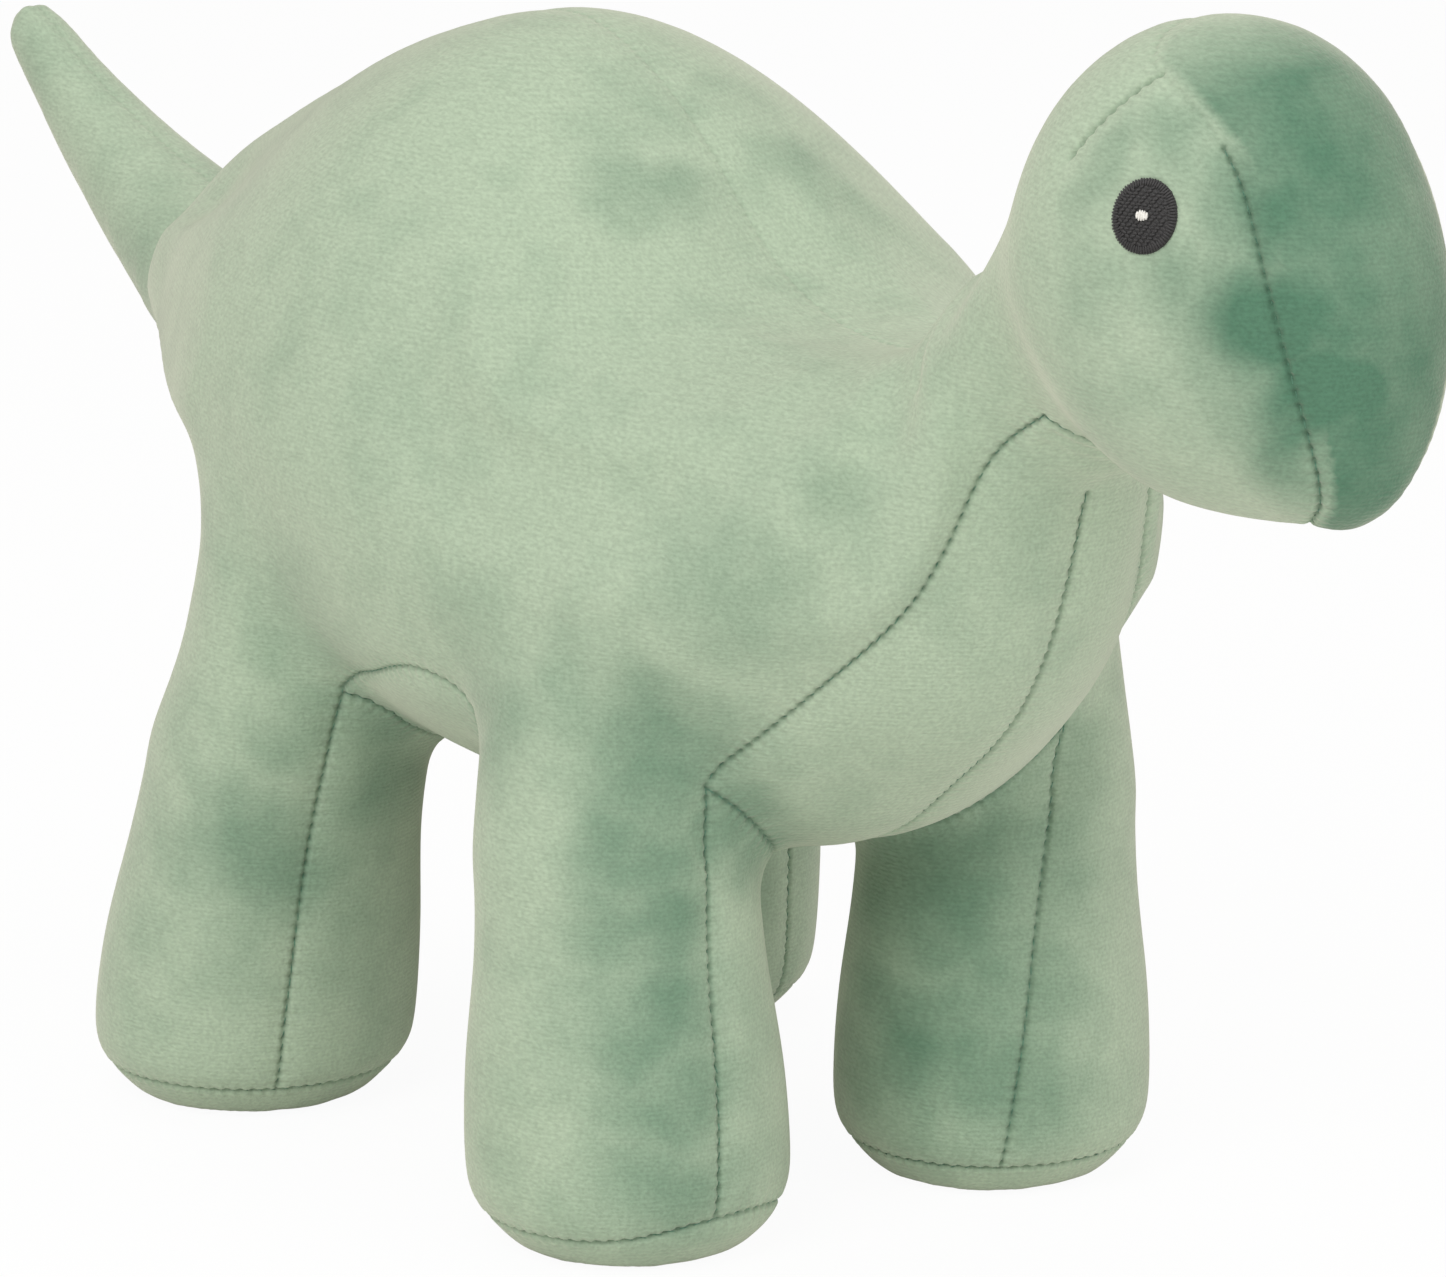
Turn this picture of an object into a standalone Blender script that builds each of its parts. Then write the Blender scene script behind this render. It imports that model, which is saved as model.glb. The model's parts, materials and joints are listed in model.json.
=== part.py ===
"""A stuffed long-necked dinosaur: cut-cloth panels sewn round soft stuffing.

Metres, +Z up, +X towards the head, +Y to the toy's left. The origin is on the floor, under the middle of
the toy. The head, the tail and the four legs are stuffed limbs that flex on round seats in the trunk.
"""

import math
from typing import NamedTuple

import bmesh
import bpy
from mathutils import Vector

# Cloth, seams and clearances
CLOTH_THICKNESS = 0.0022
FIT_GAP = 0.0003
SEAM_GAP = 0.0006
PANEL_TUCK = 0.005

# Trunk: from the tail seat to the neck seat
TRUNK_REAR = 0.132
TRUNK_FRONT = 0.115
TRUNK_WIDTH = 0.150
BELLY_HEIGHT = 0.073
BACK_HEIGHT = 0.2235

# Head and neck: the neck seat lies ahead of the trunk and above the belly
NECK_REACH = 0.022
NECK_RISE = 0.104
NECK_TILT = 38.0
NECK_RADIUS = 0.0255
HEAD_LENGTH = 0.104
HEAD_WIDTH = 0.074
HEAD_HEIGHT = 0.086
HEAD_RISE = 0.032

# Tail: its seat lies behind the trunk and above the belly
TAIL_REACH = 0.018
TAIL_RISE = 0.075
TAIL_TILT = 20.0
TAIL_CURL = 18.0
TAIL_RADIUS = 0.0205
TAIL_LENGTH = 0.1025
TAIL_TIP_RADIUS = 0.0062

# Legs: hips just above the belly line, feet on the floor
HIP_RISE = 0.005
THIGH_HEIGHT = 0.050
FRONT_HIP_X = 0.0635
FRONT_HIP_TRACK = 0.092
FRONT_HIP_RADIUS = 0.0268
FRONT_FOOT_X = 0.0655
FRONT_FOOT_TRACK = 0.087
FRONT_FOOT_RADIUS = 0.0310
FRONT_SEAM_OUTSET = 0.0
REAR_HIP_X = -0.047
REAR_HIP_TRACK = 0.100
REAR_HIP_RADIUS = 0.0270
REAR_FOOT_X = -0.064
REAR_FOOT_TRACK = 0.102
REAR_FOOT_RADIUS = 0.0330
REAR_SEAM_OUTSET = 0.008
SOLE_SEAM_HEIGHT = 0.009
SOLE_FLAT_SHARE = 0.66

# Face panel and embroidered eyes
FACE_CROWN_SET_BACK = 0.064
FACE_CHIN_SET_BACK = 0.024
EYE_WIDTH = 0.0122
EYE_HEIGHT = 0.0140
EYE_THICKNESS = 0.0010
EYE_SET_BACK = 0.033
EYE_RISE = 0.0125
HIGHLIGHT_DIAMETER = 0.0022
HIGHLIGHT_THICKNESS = 0.0006

# Facets
RING_SIDES = 14
DOME_RINGS = 3
SEAT_SEGMENTS = 20
EYE_SEGMENTS = 16

# Middles of the seats
NECK_X = TRUNK_FRONT + NECK_REACH
NECK_Z = BELLY_HEIGHT + NECK_RISE
TAIL_X = -TRUNK_REAR - TAIL_REACH
TAIL_Z = BELLY_HEIGHT + TAIL_RISE
HIP_HEIGHT = BELLY_HEIGHT + HIP_RISE


class Section(NamedTuple):
    """One cross-section of a soft form: its middle, the tilt of its plane and its reach from the middle."""

    x: float
    z: float
    tilt: float
    half_width: float
    up: float
    down: float
    y: float = 0.0
    ridge: float = 1.0


# Scene set-up


def clear_scene():
    """Remove everything that the file holds at the start."""
    for obj in list(bpy.data.objects):
        bpy.data.objects.remove(obj)


def new_collection(name):
    """Return a new collection under the scene."""
    collection = bpy.data.collections.new(name)
    bpy.context.scene.collection.children.link(collection)
    return collection


def finish(name, colour, roughness):
    """Return a plain material with that colour and roughness."""
    material = bpy.data.materials.new(name)
    material.use_nodes = True
    shader = material.node_tree.nodes["Principled BSDF"]
    shader.inputs["Base Color"].default_value = (*colour, 1.0)
    shader.inputs["Roughness"].default_value = roughness
    shader.inputs["Metallic"].default_value = 0.0
    return material


clear_scene()
TOY = new_collection("stuffed_dinosaur")
CUTTERS = new_collection("cutters")
PLUSH = finish("sage_plush", (0.31, 0.50, 0.36), 0.9)
FIBRE = finish("polyester_fibre", (0.86, 0.86, 0.83), 1.0)
BLACK_THREAD = finish("black_thread", (0.015, 0.014, 0.013), 0.6)
WHITE_THREAD = finish("white_thread", (0.85, 0.85, 0.82), 0.6)


# Mesh helpers


def add_object(name, mesh, collection=None, material=None):
    """Link a mesh as a new object; without a collection it becomes a hidden cutter."""
    obj = bpy.data.objects.new(name, mesh)
    (collection or CUTTERS).objects.link(obj)
    if collection is None:
        obj.hide_render = True
        obj.display_type = "WIRE"
    if material:
        mesh.materials.clear()
        mesh.materials.append(material)
        mesh.shade_smooth()
    return obj


def mesh_from(bm, name):
    """Turn a bmesh into a mesh whose faces point outwards."""
    bmesh.ops.recalc_face_normals(bm, faces=bm.faces)
    mesh = bpy.data.meshes.new(name)
    bm.to_mesh(mesh)
    bm.free()
    return mesh


def ring_points(section):
    """Return the points round one section, as an egg with its own reach above and below its middle."""
    tilt = math.radians(section.tilt)
    middle = Vector((section.x, section.y, section.z))
    up_axis = Vector((-math.sin(tilt), 0.0, math.cos(tilt)))
    points = []
    for k in range(RING_SIDES):
        angle = 2 * math.pi * k / RING_SIDES
        rise = math.sin(angle)
        side = math.cos(angle)
        reach = section.up if rise > 0 else section.down
        if rise > 0:
            side = math.copysign(abs(side) ** section.ridge, side)
        points.append(middle + Vector((0, section.half_width * side, 0)) + up_axis * reach * rise)
    return points


def smooth_sections(stations, steps):
    """Return sections along a smooth curve through the stations, with so many steps between each pair."""
    rows = []
    last = len(stations) - 1
    for i in range(last):
        before, start, end, after = (stations[min(max(j, 0), last)] for j in (i - 1, i, i + 1, i + 2))
        for k in range(steps):
            t = k / steps
            values = []
            for a, b, c, d in zip(before, start, end, after):
                cubic = (3 * b - a - 3 * c + d) * t**3 + (2 * a - 5 * b + 4 * c - d) * t**2 + (c - a) * t
                values.append(b + cubic / 2)
            rows.append(Section(*values))
    return rows + [stations[-1]]


def loft(sections, name):
    """Return a closed mesh that runs through the sections and is capped at both ends."""
    bm = bmesh.new()
    rings = [[bm.verts.new(point) for point in ring_points(section)] for section in sections]
    for low, high in zip(rings, rings[1:]):
        for k in range(RING_SIDES):
            n = (k + 1) % RING_SIDES
            bm.faces.new((low[k], low[n], high[n], high[k]))
    for ring, section in ((rings[0], sections[0]), (rings[-1], sections[-1])):
        pole = bm.verts.new((section.x, section.y, section.z))
        for k in range(RING_SIDES):
            bm.faces.new((ring[k], ring[(k + 1) % RING_SIDES], pole))
    # Offset copies then share one set of triangles and never cross
    bmesh.ops.triangulate(bm, faces=bm.faces)
    return mesh_from(bm, name)


def dome_sections(base, count=DOME_RINGS):
    """Return the sections of the half ball behind a round section, from near its pole to the section."""
    sections = []
    radius = base.half_width
    for k in range(count):
        angle = math.radians(8 + 82 * k / count)
        back = radius * math.cos(angle)
        reach = radius * math.sin(angle)
        middle_x = base.x - back * math.cos(math.radians(base.tilt))
        middle_z = base.z - back * math.sin(math.radians(base.tilt))
        sections.append(Section(middle_x, middle_z, base.tilt, reach, reach, reach, base.y))
    return sections


def evaluated_mesh(obj):
    """Return the object's shape, with its modifiers, as a plain mesh."""
    graph = bpy.context.evaluated_depsgraph_get()
    return bpy.data.meshes.new_from_object(obj.evaluated_get(graph))


def add_boolean(obj, operation, other, solver="EXACT"):
    """Cut, join or intersect an object with a cutter."""
    modifier = obj.modifiers.new(operation.title(), "BOOLEAN")
    modifier.operation = operation
    modifier.solver = solver
    modifier.object = other


def offset_form(mesh, distance, name):
    """Return a hidden copy of a form, grown or shrunk along its normals."""
    obj = add_object(name, mesh.copy())
    modifier = obj.modifiers.new("Offset", "DISPLACE")
    modifier.mid_level = 0.0
    modifier.strength = distance
    return obj


def joined_form(meshes, distance, name):
    """Return a hidden solid that joins forms, each first grown or shrunk by the same distance."""
    first = offset_form(meshes[0], distance, name)
    for k, mesh in enumerate(meshes[1:], start=1):
        add_boolean(first, "UNION", offset_form(mesh, distance, f"{name}_{k}"))
    return add_object(f"{name}_solid", evaluated_mesh(first))


def box_cutter(name, low, high):
    """Return a hidden box between two corners."""
    bm = bmesh.new()
    bmesh.ops.create_cube(bm, size=1.0)
    low, high = Vector(low), Vector(high)
    for vert in bm.verts:
        vert.co = (low + high) / 2 + Vector(a * b for a, b in zip(vert.co, high - low))
    return add_object(name, mesh_from(bm, name))


def ball_cutter(name, centre, radius):
    """Return a hidden ball whose flat facets stay just clear of a round limb of that radius."""
    clear = (radius + FIT_GAP) / math.cos(math.pi / SEAT_SEGMENTS) ** 2
    bm = bmesh.new()
    bmesh.ops.create_uvsphere(bm, u_segments=SEAT_SEGMENTS, v_segments=SEAT_SEGMENTS // 2, radius=clear)
    bmesh.ops.translate(bm, verts=bm.verts, vec=centre)
    return add_object(name, mesh_from(bm, name))


# Forms


def trunk_stations():
    """Return the trunk's sections: rump, hump, shoulders and chest, between the tail and neck seats."""
    height = BACK_HEIGHT - BELLY_HEIGHT
    length = TRUNK_FRONT + TRUNK_REAR
    half = TRUNK_WIDTH / 2
    # Share of the length, height of the underside, widest line and back, share of the width, and ridge
    shape = [
        (0.000, 0.290, 0.50, 0.700, 0.42, 1.0),
        (0.090, 0.190, 0.46, 0.815, 0.57, 1.0),
        (0.190, 0.115, 0.43, 0.905, 0.74, 1.0),
        (0.330, 0.045, 0.42, 0.980, 0.91, 1.1),
        (0.475, 0.012, 0.42, 1.000, 0.99, 1.25),
        (0.615, 0.000, 0.42, 0.940, 1.00, 1.4),
        (0.755, 0.000, 0.43, 0.780, 0.94, 1.4),
        (0.900, 0.050, 0.46, 0.725, 0.78, 1.3),
        (1.000, 0.150, 0.50, 0.750, 0.61, 1.15),
    ]
    stations = [Section(TAIL_X, TAIL_Z, -TAIL_TILT, TAIL_RADIUS, TAIL_RADIUS, TAIL_RADIUS)]
    for along, under, middle, over, width, ridge in shape:
        stations.append(
            Section(
                along * length - TRUNK_REAR,
                BELLY_HEIGHT + middle * height,
                0.0,
                half * width,
                (over - middle) * height,
                (middle - under) * height,
                0.0,
                ridge,
            )
        )
    chest_x = TRUNK_FRONT * 0.36 + NECK_X * 0.64
    chest_z = NECK_Z - NECK_RADIUS * 0.82
    wide, over, under = NECK_RADIUS * 1.30, NECK_RADIUS * 1.34, NECK_RADIUS * 1.42
    stations.append(Section(chest_x, chest_z, NECK_TILT * 0.53, wide, over, under))
    stations.append(Section(NECK_X, NECK_Z, NECK_TILT, NECK_RADIUS, NECK_RADIUS, NECK_RADIUS))
    return stations


def head_stations():
    """Return the head's sections, from the waist of the neck to the flat of the face."""
    reach = math.cos(math.radians(NECK_TILT)), math.sin(math.radians(NECK_TILT))
    waist = NECK_RADIUS * 0.28
    slim = NECK_RADIUS * 0.945
    middle_z = NECK_Z + HEAD_RISE
    half = HEAD_WIDTH / 2
    tall = HEAD_HEIGHT / 2
    stations = [
        Section(NECK_X, NECK_Z, NECK_TILT, NECK_RADIUS, NECK_RADIUS, NECK_RADIUS),
        Section(NECK_X + waist * reach[0], NECK_Z + waist * reach[1], NECK_TILT, slim, slim, slim),
    ]
    # Share of the head's length, height of the middle, tilt, and shares of the width and half height
    shape = [
        (0.20, -0.0125, 26.0, 0.78, 0.64, 0.66),
        (0.38, -0.003, 13.0, 0.96, 0.92, 0.90),
        (0.57, 0.0, 5.0, 1.00, 0.98, 0.98),
        (0.76, -0.001, 0.0, 0.90, 0.86, 0.98),
        (0.89, -0.003, 0.0, 0.68, 0.67, 0.84),
        (0.97, -0.005, 0.0, 0.42, 0.43, 0.57),
        (1.00, -0.006, 0.0, 0.14, 0.15, 0.20),
    ]
    for along, rise, tilt, width, up, down in shape:
        x = NECK_X + along * HEAD_LENGTH
        stations.append(Section(x, middle_z + rise, tilt, half * width, tall * up, tall * down))
    return stations


def tail_stations():
    """Return the tail's sections, curling up from its seat to its round tip."""
    count = 6
    stations = []
    x, z = TAIL_X, TAIL_Z
    for k in range(count + 1):
        share = k / count
        radius = TAIL_RADIUS + (TAIL_TIP_RADIUS - TAIL_RADIUS) * share**0.85
        angle = math.radians(TAIL_TILT + TAIL_CURL * share)
        stations.append(Section(x, z, 180.0 - math.degrees(angle), radius, radius, radius))
        step = (TAIL_LENGTH - TAIL_TIP_RADIUS) / count
        x -= step * math.cos(angle)
        z += step * math.sin(angle)
    return stations


class Leg(NamedTuple):
    """Where one leg hangs and stands, and its widths."""

    hip_x: float
    hip_y: float
    foot_x: float
    foot_y: float
    hip_radius: float
    foot_radius: float
    seam_y: float


def leg_of(place, side):
    """Return the front or rear leg of one side."""
    sign = SIGNS[side]
    if place == "front":
        hip, foot, radii = (FRONT_HIP_X, FRONT_HIP_TRACK), (FRONT_FOOT_X, FRONT_FOOT_TRACK), FRONT_HIP_RADIUS
        foot_radius, outset = FRONT_FOOT_RADIUS, FRONT_SEAM_OUTSET
    else:
        hip, foot, radii = (REAR_HIP_X, REAR_HIP_TRACK), (REAR_FOOT_X, REAR_FOOT_TRACK), REAR_HIP_RADIUS
        foot_radius, outset = REAR_FOOT_RADIUS, REAR_SEAM_OUTSET
    hip_y = sign * hip[1] / 2
    return Leg(hip[0], hip_y, foot[0], sign * foot[1] / 2, radii, foot_radius, hip_y + sign * outset)


def leg_stations(leg):
    """Return a leg's sections: hip, slim waist, swelling foot and the flat of the sole."""
    slim = leg.hip_radius * 0.93
    foot = leg.foot_radius
    # Height as a share of the hip's, and radius
    shape = [
        (1.0, leg.hip_radius),
        (0.90, slim),
        (0.72, slim * 0.8 + foot * 0.2),
        (0.46, slim * 0.28 + foot * 0.72),
        (0.24, foot),
        (0.12, foot * 0.99),
        (0.045, foot * (0.5 + SOLE_FLAT_SHARE * 0.58)),
        (0.0, foot * SOLE_FLAT_SHARE),
    ]
    stations = []
    for height, radius in shape:
        x = leg.foot_x + (leg.hip_x - leg.foot_x) * height
        y = leg.foot_y + (leg.hip_y - leg.foot_y) * height
        stations.append(Section(x, HIP_HEIGHT * height, -90.0, radius, radius, radius, y))
    return stations


def thigh_stations(leg):
    """Return the sections of the trunk's own stump above a leg."""
    shape = [(0.02, 1.0), (0.40, 1.0), (1.0, 0.6)]
    stations = []
    for rise, share in shape:
        radius = leg.hip_radius * share
        z = HIP_HEIGHT + rise * THIGH_HEIGHT
        stations.append(Section(leg.hip_x, z, 90.0, radius, radius, radius, leg.hip_y))
    return stations


# Regions that panels are cut to


def prism_cutter(name, outline, depth, to_world):
    """Return a hidden solid: a flat outline drawn out by a depth, each point placed by a function."""
    bm = bmesh.new()
    near = [bm.verts.new(to_world(a, b, 0.0)) for a, b in outline]
    far = [bm.verts.new(to_world(a, b, depth)) for a, b in outline]
    count = len(outline)
    for k in range(count):
        n = (k + 1) % count
        bm.faces.new((near[k], near[n], far[n], far[k]))
    bm.faces.new(near)
    bm.faces.new(far)
    return add_object(name, mesh_from(bm, name))


def mirrored_outline(half_widths, grow):
    """Return a closed outline from (place, half width) pairs, grown by a margin on every side."""
    first, last = half_widths[0], half_widths[-1]
    step = math.copysign(grow, last[0] - first[0])
    rows = [(first[0] - step, first[1] + grow)]
    rows += [(place, half + grow) for place, half in half_widths[1:-1]]
    rows += [(last[0] + step, last[1] + grow)]
    return [(place, half) for place, half in rows] + [(place, -half) for place, half in reversed(rows)]


def belly_region(name, grow):
    """Return the region of the belly gussets: a channel along the underside, from the tail to the throat."""
    front = FRONT_HIP_TRACK / 2 + FRONT_SEAM_OUTSET
    rear = REAR_HIP_TRACK / 2 + REAR_SEAM_OUTSET
    throat_x = NECK_X + NECK_RADIUS
    brisket_x = FRONT_HIP_X + FRONT_HIP_RADIUS * 1.1
    chest = throat_x - brisket_x
    tall = BACK_HEIGHT - BELLY_HEIGHT
    # Place along the toy, half width, and height of the region's top above the belly
    rows = [
        (TAIL_X - 0.001 - grow, 0.008, tall * 0.42),
        (REAR_HIP_X - REAR_HIP_RADIUS * 1.5, rear * 0.75, tall * 0.37),
        (REAR_HIP_X - REAR_HIP_RADIUS * 0.7, rear, tall * 0.32),
        (REAR_HIP_X + REAR_HIP_RADIUS * 0.9, rear, tall * 0.30),
        ((FRONT_HIP_X + REAR_HIP_X) / 2, TRUNK_WIDTH * 0.37, tall * 0.30),
        (FRONT_HIP_X - FRONT_HIP_RADIUS * 0.7, front, tall * 0.30),
        (brisket_x, front, tall * 0.29),
        (brisket_x + chest * 0.35, front * 0.87, tall * 0.34),
        (brisket_x + chest * 0.65, front * 0.64, tall * 0.50),
        (throat_x + grow, front * 0.38, tall * 0.76),
    ]
    bm = bmesh.new()
    rings = []
    for x, half, top in rows:
        half += grow
        top += BELLY_HEIGHT + grow
        rings.append([bm.verts.new((x, y, z)) for y, z in ((-half, 0), (half, 0), (half, top), (-half, top))])
    for near, far in zip(rings, rings[1:]):
        for k in range(4):
            bm.faces.new((near[k], near[(k + 1) % 4], far[(k + 1) % 4], far[k]))
    bm.faces.new(rings[0])
    bm.faces.new(rings[-1])
    return add_object(name, mesh_from(bm, name))


def face_region(name, grow):
    """Return the region of the face gusset: a tongue from the crown down over the face to the chin."""
    crown_x = NECK_X + HEAD_LENGTH - FACE_CROWN_SET_BACK
    chin_x = NECK_X + HEAD_LENGTH - FACE_CHIN_SET_BACK
    middle_z = NECK_Z + HEAD_RISE
    lean = math.atan2(chin_x - crown_x, HEAD_HEIGHT)
    # Share of the head's height and of its width, from the crown to the chin
    shape = [(0.58, 0.16), (0.44, 0.30), (0.26, 0.50), (0.05, 0.62), (-0.18, 0.60), (-0.40, 0.46)]
    shape += [(-0.60, 0.28)]
    half_widths = [(rise * HEAD_HEIGHT, share * HEAD_WIDTH / 2) for rise, share in shape]
    outline = mirrored_outline(half_widths, grow)
    middle_x = (crown_x + chin_x) / 2

    def place(rise, y, forward):
        x = middle_x - rise * math.sin(lean) + forward * math.cos(lean)
        z = middle_z + rise * math.cos(lean) + forward * math.sin(lean)
        return x, y, z

    return prism_cutter(name, outline, HEAD_LENGTH, place)


def patch_region(name, at, normal, width, height):
    """Return an upright oval cylinder through a point of the cloth, square to it."""
    side = normal.cross(Vector((0, 0, 1))).normalized()
    up = side.cross(normal).normalized()
    reach = EYE_WIDTH
    outline = []
    for k in range(EYE_SEGMENTS):
        angle = 2 * math.pi * k / EYE_SEGMENTS
        outline.append((width / 2 * math.cos(angle), height / 2 * math.sin(angle)))

    def place(across, rise, out):
        return at + side * across + up * rise + normal * (out - reach)

    return prism_cutter(name, outline, 2 * reach, place)


# Pieces

REACH = 0.4
LEFT_HALF = box_cutter("left_half", (-REACH, SEAM_GAP / 2, -REACH), (REACH, REACH, REACH))
RIGHT_HALF = box_cutter("right_half", (-REACH, -REACH, -REACH), (REACH, -SEAM_GAP / 2, REACH))
HALVES = {"left": LEFT_HALF, "right": RIGHT_HALF}
SIGNS = {"left": 1, "right": -1}


def add_piece(name, mesh, material, keep=(), cut=(), solver="EXACT"):
    """Add one piece of the toy: a form kept inside some regions and cut by others."""
    obj = add_object(name, mesh.copy(), TOY, material)
    for region in keep:
        add_boolean(obj, "INTERSECT", region, solver)
    for cutter in cut:
        add_boolean(obj, "DIFFERENCE", cutter, solver)
    return obj


def seat_cutters(name, mesh, centre, radius):
    """Return what the trunk gives up for a limb: a round seat, and the limb's own form with clearance."""
    return [ball_cutter(f"{name}_seat", centre, radius), offset_form(mesh, FIT_GAP, f"{name}_clearance")]


def stuffed(name, mesh):
    """Add the stuffing that fills a limb's cloth; return it and the hollow that the panels lie round."""
    core = offset_form(mesh, -CLOTH_THICKNESS - FIT_GAP, f"{name}_core")
    stuffing = add_piece(f"{name}_stuffing", evaluated_mesh(core), FIBRE)
    return stuffing, offset_form(mesh, -CLOTH_THICKNESS, f"{name}_hollow")


def hang_on_joint(name, centre, pieces):
    """Add an empty at a joint's middle and make a limb's pieces its children, where they are."""
    joint = bpy.data.objects.new(name, None)
    joint.location = centre
    joint.empty_display_size = CLOTH_THICKNESS * 4
    TOY.objects.link(joint)
    bpy.context.view_layer.update()
    for piece in pieces:
        piece.parent = joint
        piece.matrix_parent_inverse = joint.matrix_world.inverted()


def add_leg(name, side, leg):
    """Add one leg, its stuffing, two panels and sole, and return what the trunk is cut by."""
    stations = leg_stations(leg)
    mesh = loft(dome_sections(stations[0]) + smooth_sections(stations, 1), f"{name}_form")
    stuffing, hollow = stuffed(name, mesh)
    low = SOLE_SEAM_HEIGHT + SEAM_GAP / 2
    high = HIP_HEIGHT + PANEL_TUCK
    y = leg.seam_y
    left = box_cutter(f"{name}_left", (-REACH, y + SEAM_GAP / 2, low), (REACH, REACH, high))
    right = box_cutter(f"{name}_right", (-REACH, -REACH, low), (REACH, y - SEAM_GAP / 2, high))
    under = box_cutter(f"{name}_under", (-REACH, -REACH, -REACH), (REACH, REACH, low - SEAM_GAP))
    outer, inner = (left, right) if side == "left" else (right, left)
    pieces = [
        stuffing,
        add_piece(f"{name}_outer_panel", mesh, PLUSH, [outer], [hollow]),
        add_piece(f"{name}_inner_panel", mesh, PLUSH, [inner], [hollow]),
        add_piece(f"{name}_sole", mesh, PLUSH, [under], [hollow]),
    ]
    hip = (leg.hip_x, leg.hip_y, HIP_HEIGHT)
    hang_on_joint(f"{name}_swing", hip, pieces)
    return seat_cutters(name, mesh, hip, leg.hip_radius)


def add_legs(thighs, seats):
    """Add the four legs, the trunk's stump above each and the seat that each turns in."""
    for place in ("front", "rear"):
        for side in SIGNS:
            name = f"{place}_{side}_leg"
            leg = leg_of(place, side)
            thighs.append(loft(smooth_sections(thigh_stations(leg), 2), f"{name}_thigh"))
            seats += add_leg(name, side, leg)


def add_trunk(thighs, seats):
    """Add the trunk: two side panels, two belly gussets and the stuffing, with a seat for each limb."""
    forms = [loft(smooth_sections(trunk_stations(), 2), "trunk_form")] + thighs
    cover = joined_form(forms, 0.0, "trunk_cover")
    hollow = joined_form(forms, -CLOTH_THICKNESS, "trunk_hollow")
    core = joined_form(forms, -CLOTH_THICKNESS - FIT_GAP, "trunk_core")
    belly = belly_region("belly_region", 0.0)
    around_belly = belly_region("around_belly", SEAM_GAP)
    # The exact solver loses the many-branched trunk, so its cuts take the manifold one
    solver = "MANIFOLD"
    add_piece("trunk_stuffing", core.data, FIBRE, [], seats, solver)
    for side, half in HALVES.items():
        add_piece(f"side_panel_{side}", cover.data, PLUSH, [half], [around_belly, *seats, hollow], solver)
        add_piece(f"belly_gusset_{side}", cover.data, PLUSH, [half, belly], [*seats, hollow], solver)


def add_head(seats):
    """Add the head: two cheek panels, a face gusset, the stuffing and the embroidered eyes."""
    stations = head_stations()
    mesh = loft(dome_sections(stations[0]) + smooth_sections(stations, 2), "head_form")
    stuffing, hollow = stuffed("head", mesh)
    neck = (NECK_X, 0, NECK_Z)
    seats += seat_cutters("head", mesh, neck, NECK_RADIUS)
    tuck = ball_cutter("neck_tuck", (NECK_X - NECK_RADIUS, 0, NECK_Z - NECK_RADIUS * 0.7), NECK_RADIUS * 1.05)
    face = face_region("face_region", 0.0)
    around_face = face_region("around_face", SEAM_GAP)
    pieces = [stuffing, add_piece("face_gusset", mesh, PLUSH, [face], [hollow])]
    for side, half in HALVES.items():
        pieces.append(add_piece(f"cheek_panel_{side}", mesh, PLUSH, [half], [around_face, tuck, hollow]))
    pieces += add_eyes(mesh)
    hang_on_joint("head_nod", neck, pieces)


def add_eyes(head_mesh):
    """Add and return an embroidered eye and its highlight on each cheek, on the curve of the cloth."""
    pieces = []
    cloth = offset_form(head_mesh, 0.0, "head_cloth")
    bpy.context.view_layer.update()
    x = NECK_X + HEAD_LENGTH - EYE_SET_BACK
    z = NECK_Z + HEAD_RISE + EYE_RISE
    layers = [
        ("eye", BLACK_THREAD, FIT_GAP, EYE_THICKNESS, EYE_WIDTH, EYE_HEIGHT),
        (
            "eye_highlight",
            WHITE_THREAD,
            2 * FIT_GAP + EYE_THICKNESS,
            HIGHLIGHT_THICKNESS,
            HIGHLIGHT_DIAMETER,
            HIGHLIGHT_DIAMETER,
        ),
    ]
    for kind, material, lift, thickness, width, height in layers:
        outside = offset_form(head_mesh, lift + thickness, f"{kind}_outside")
        inside = offset_form(head_mesh, lift, f"{kind}_inside")
        for side, sign in SIGNS.items():
            _, at, normal, _ = cloth.ray_cast(Vector((x, sign * REACH, z)), Vector((0, -sign, 0)))
            region = patch_region(f"{kind}_{side}_region", at, normal, width, height)
            pieces.append(add_piece(f"{kind}_{side}", evaluated_mesh(outside), material, [region], [inside]))
    return pieces


def add_tail(seats):
    """Add the tail: two panels round their stuffing."""
    stations = tail_stations()
    tip = stations[-1]
    cap = [
        Section(2 * tip.x - s.x, 2 * tip.z - s.z, s.tilt, s.half_width, s.up, s.down)
        for s in reversed(dome_sections(tip))
    ]
    mesh = loft(dome_sections(stations[0]) + smooth_sections(stations, 1) + cap, "tail_form")
    stuffing, hollow = stuffed("tail", mesh)
    root = (TAIL_X, 0, TAIL_Z)
    seats += seat_cutters("tail", mesh, root, TAIL_RADIUS)
    pieces = [stuffing]
    for side, half in HALVES.items():
        pieces.append(add_piece(f"tail_panel_{side}", mesh, PLUSH, [half], [hollow]))
    hang_on_joint("tail_wag", root, pieces)


def build():
    """Add every piece of the toy; the trunk comes last, cut by the seats of the limbs."""
    thighs = []
    seats = []
    add_legs(thighs, seats)
    add_head(seats)
    add_tail(seats)
    add_trunk(thighs, seats)


build()
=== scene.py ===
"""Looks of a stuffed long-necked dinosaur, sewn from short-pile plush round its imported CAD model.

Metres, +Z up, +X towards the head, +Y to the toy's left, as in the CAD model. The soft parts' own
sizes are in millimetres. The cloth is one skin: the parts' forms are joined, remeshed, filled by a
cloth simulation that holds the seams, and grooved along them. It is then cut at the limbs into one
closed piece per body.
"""

import json
import logging
import math
from abc import ABC, abstractmethod
from collections.abc import Iterable, Sequence
from dataclasses import dataclass, field
from enum import Enum
from typing import Any

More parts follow.
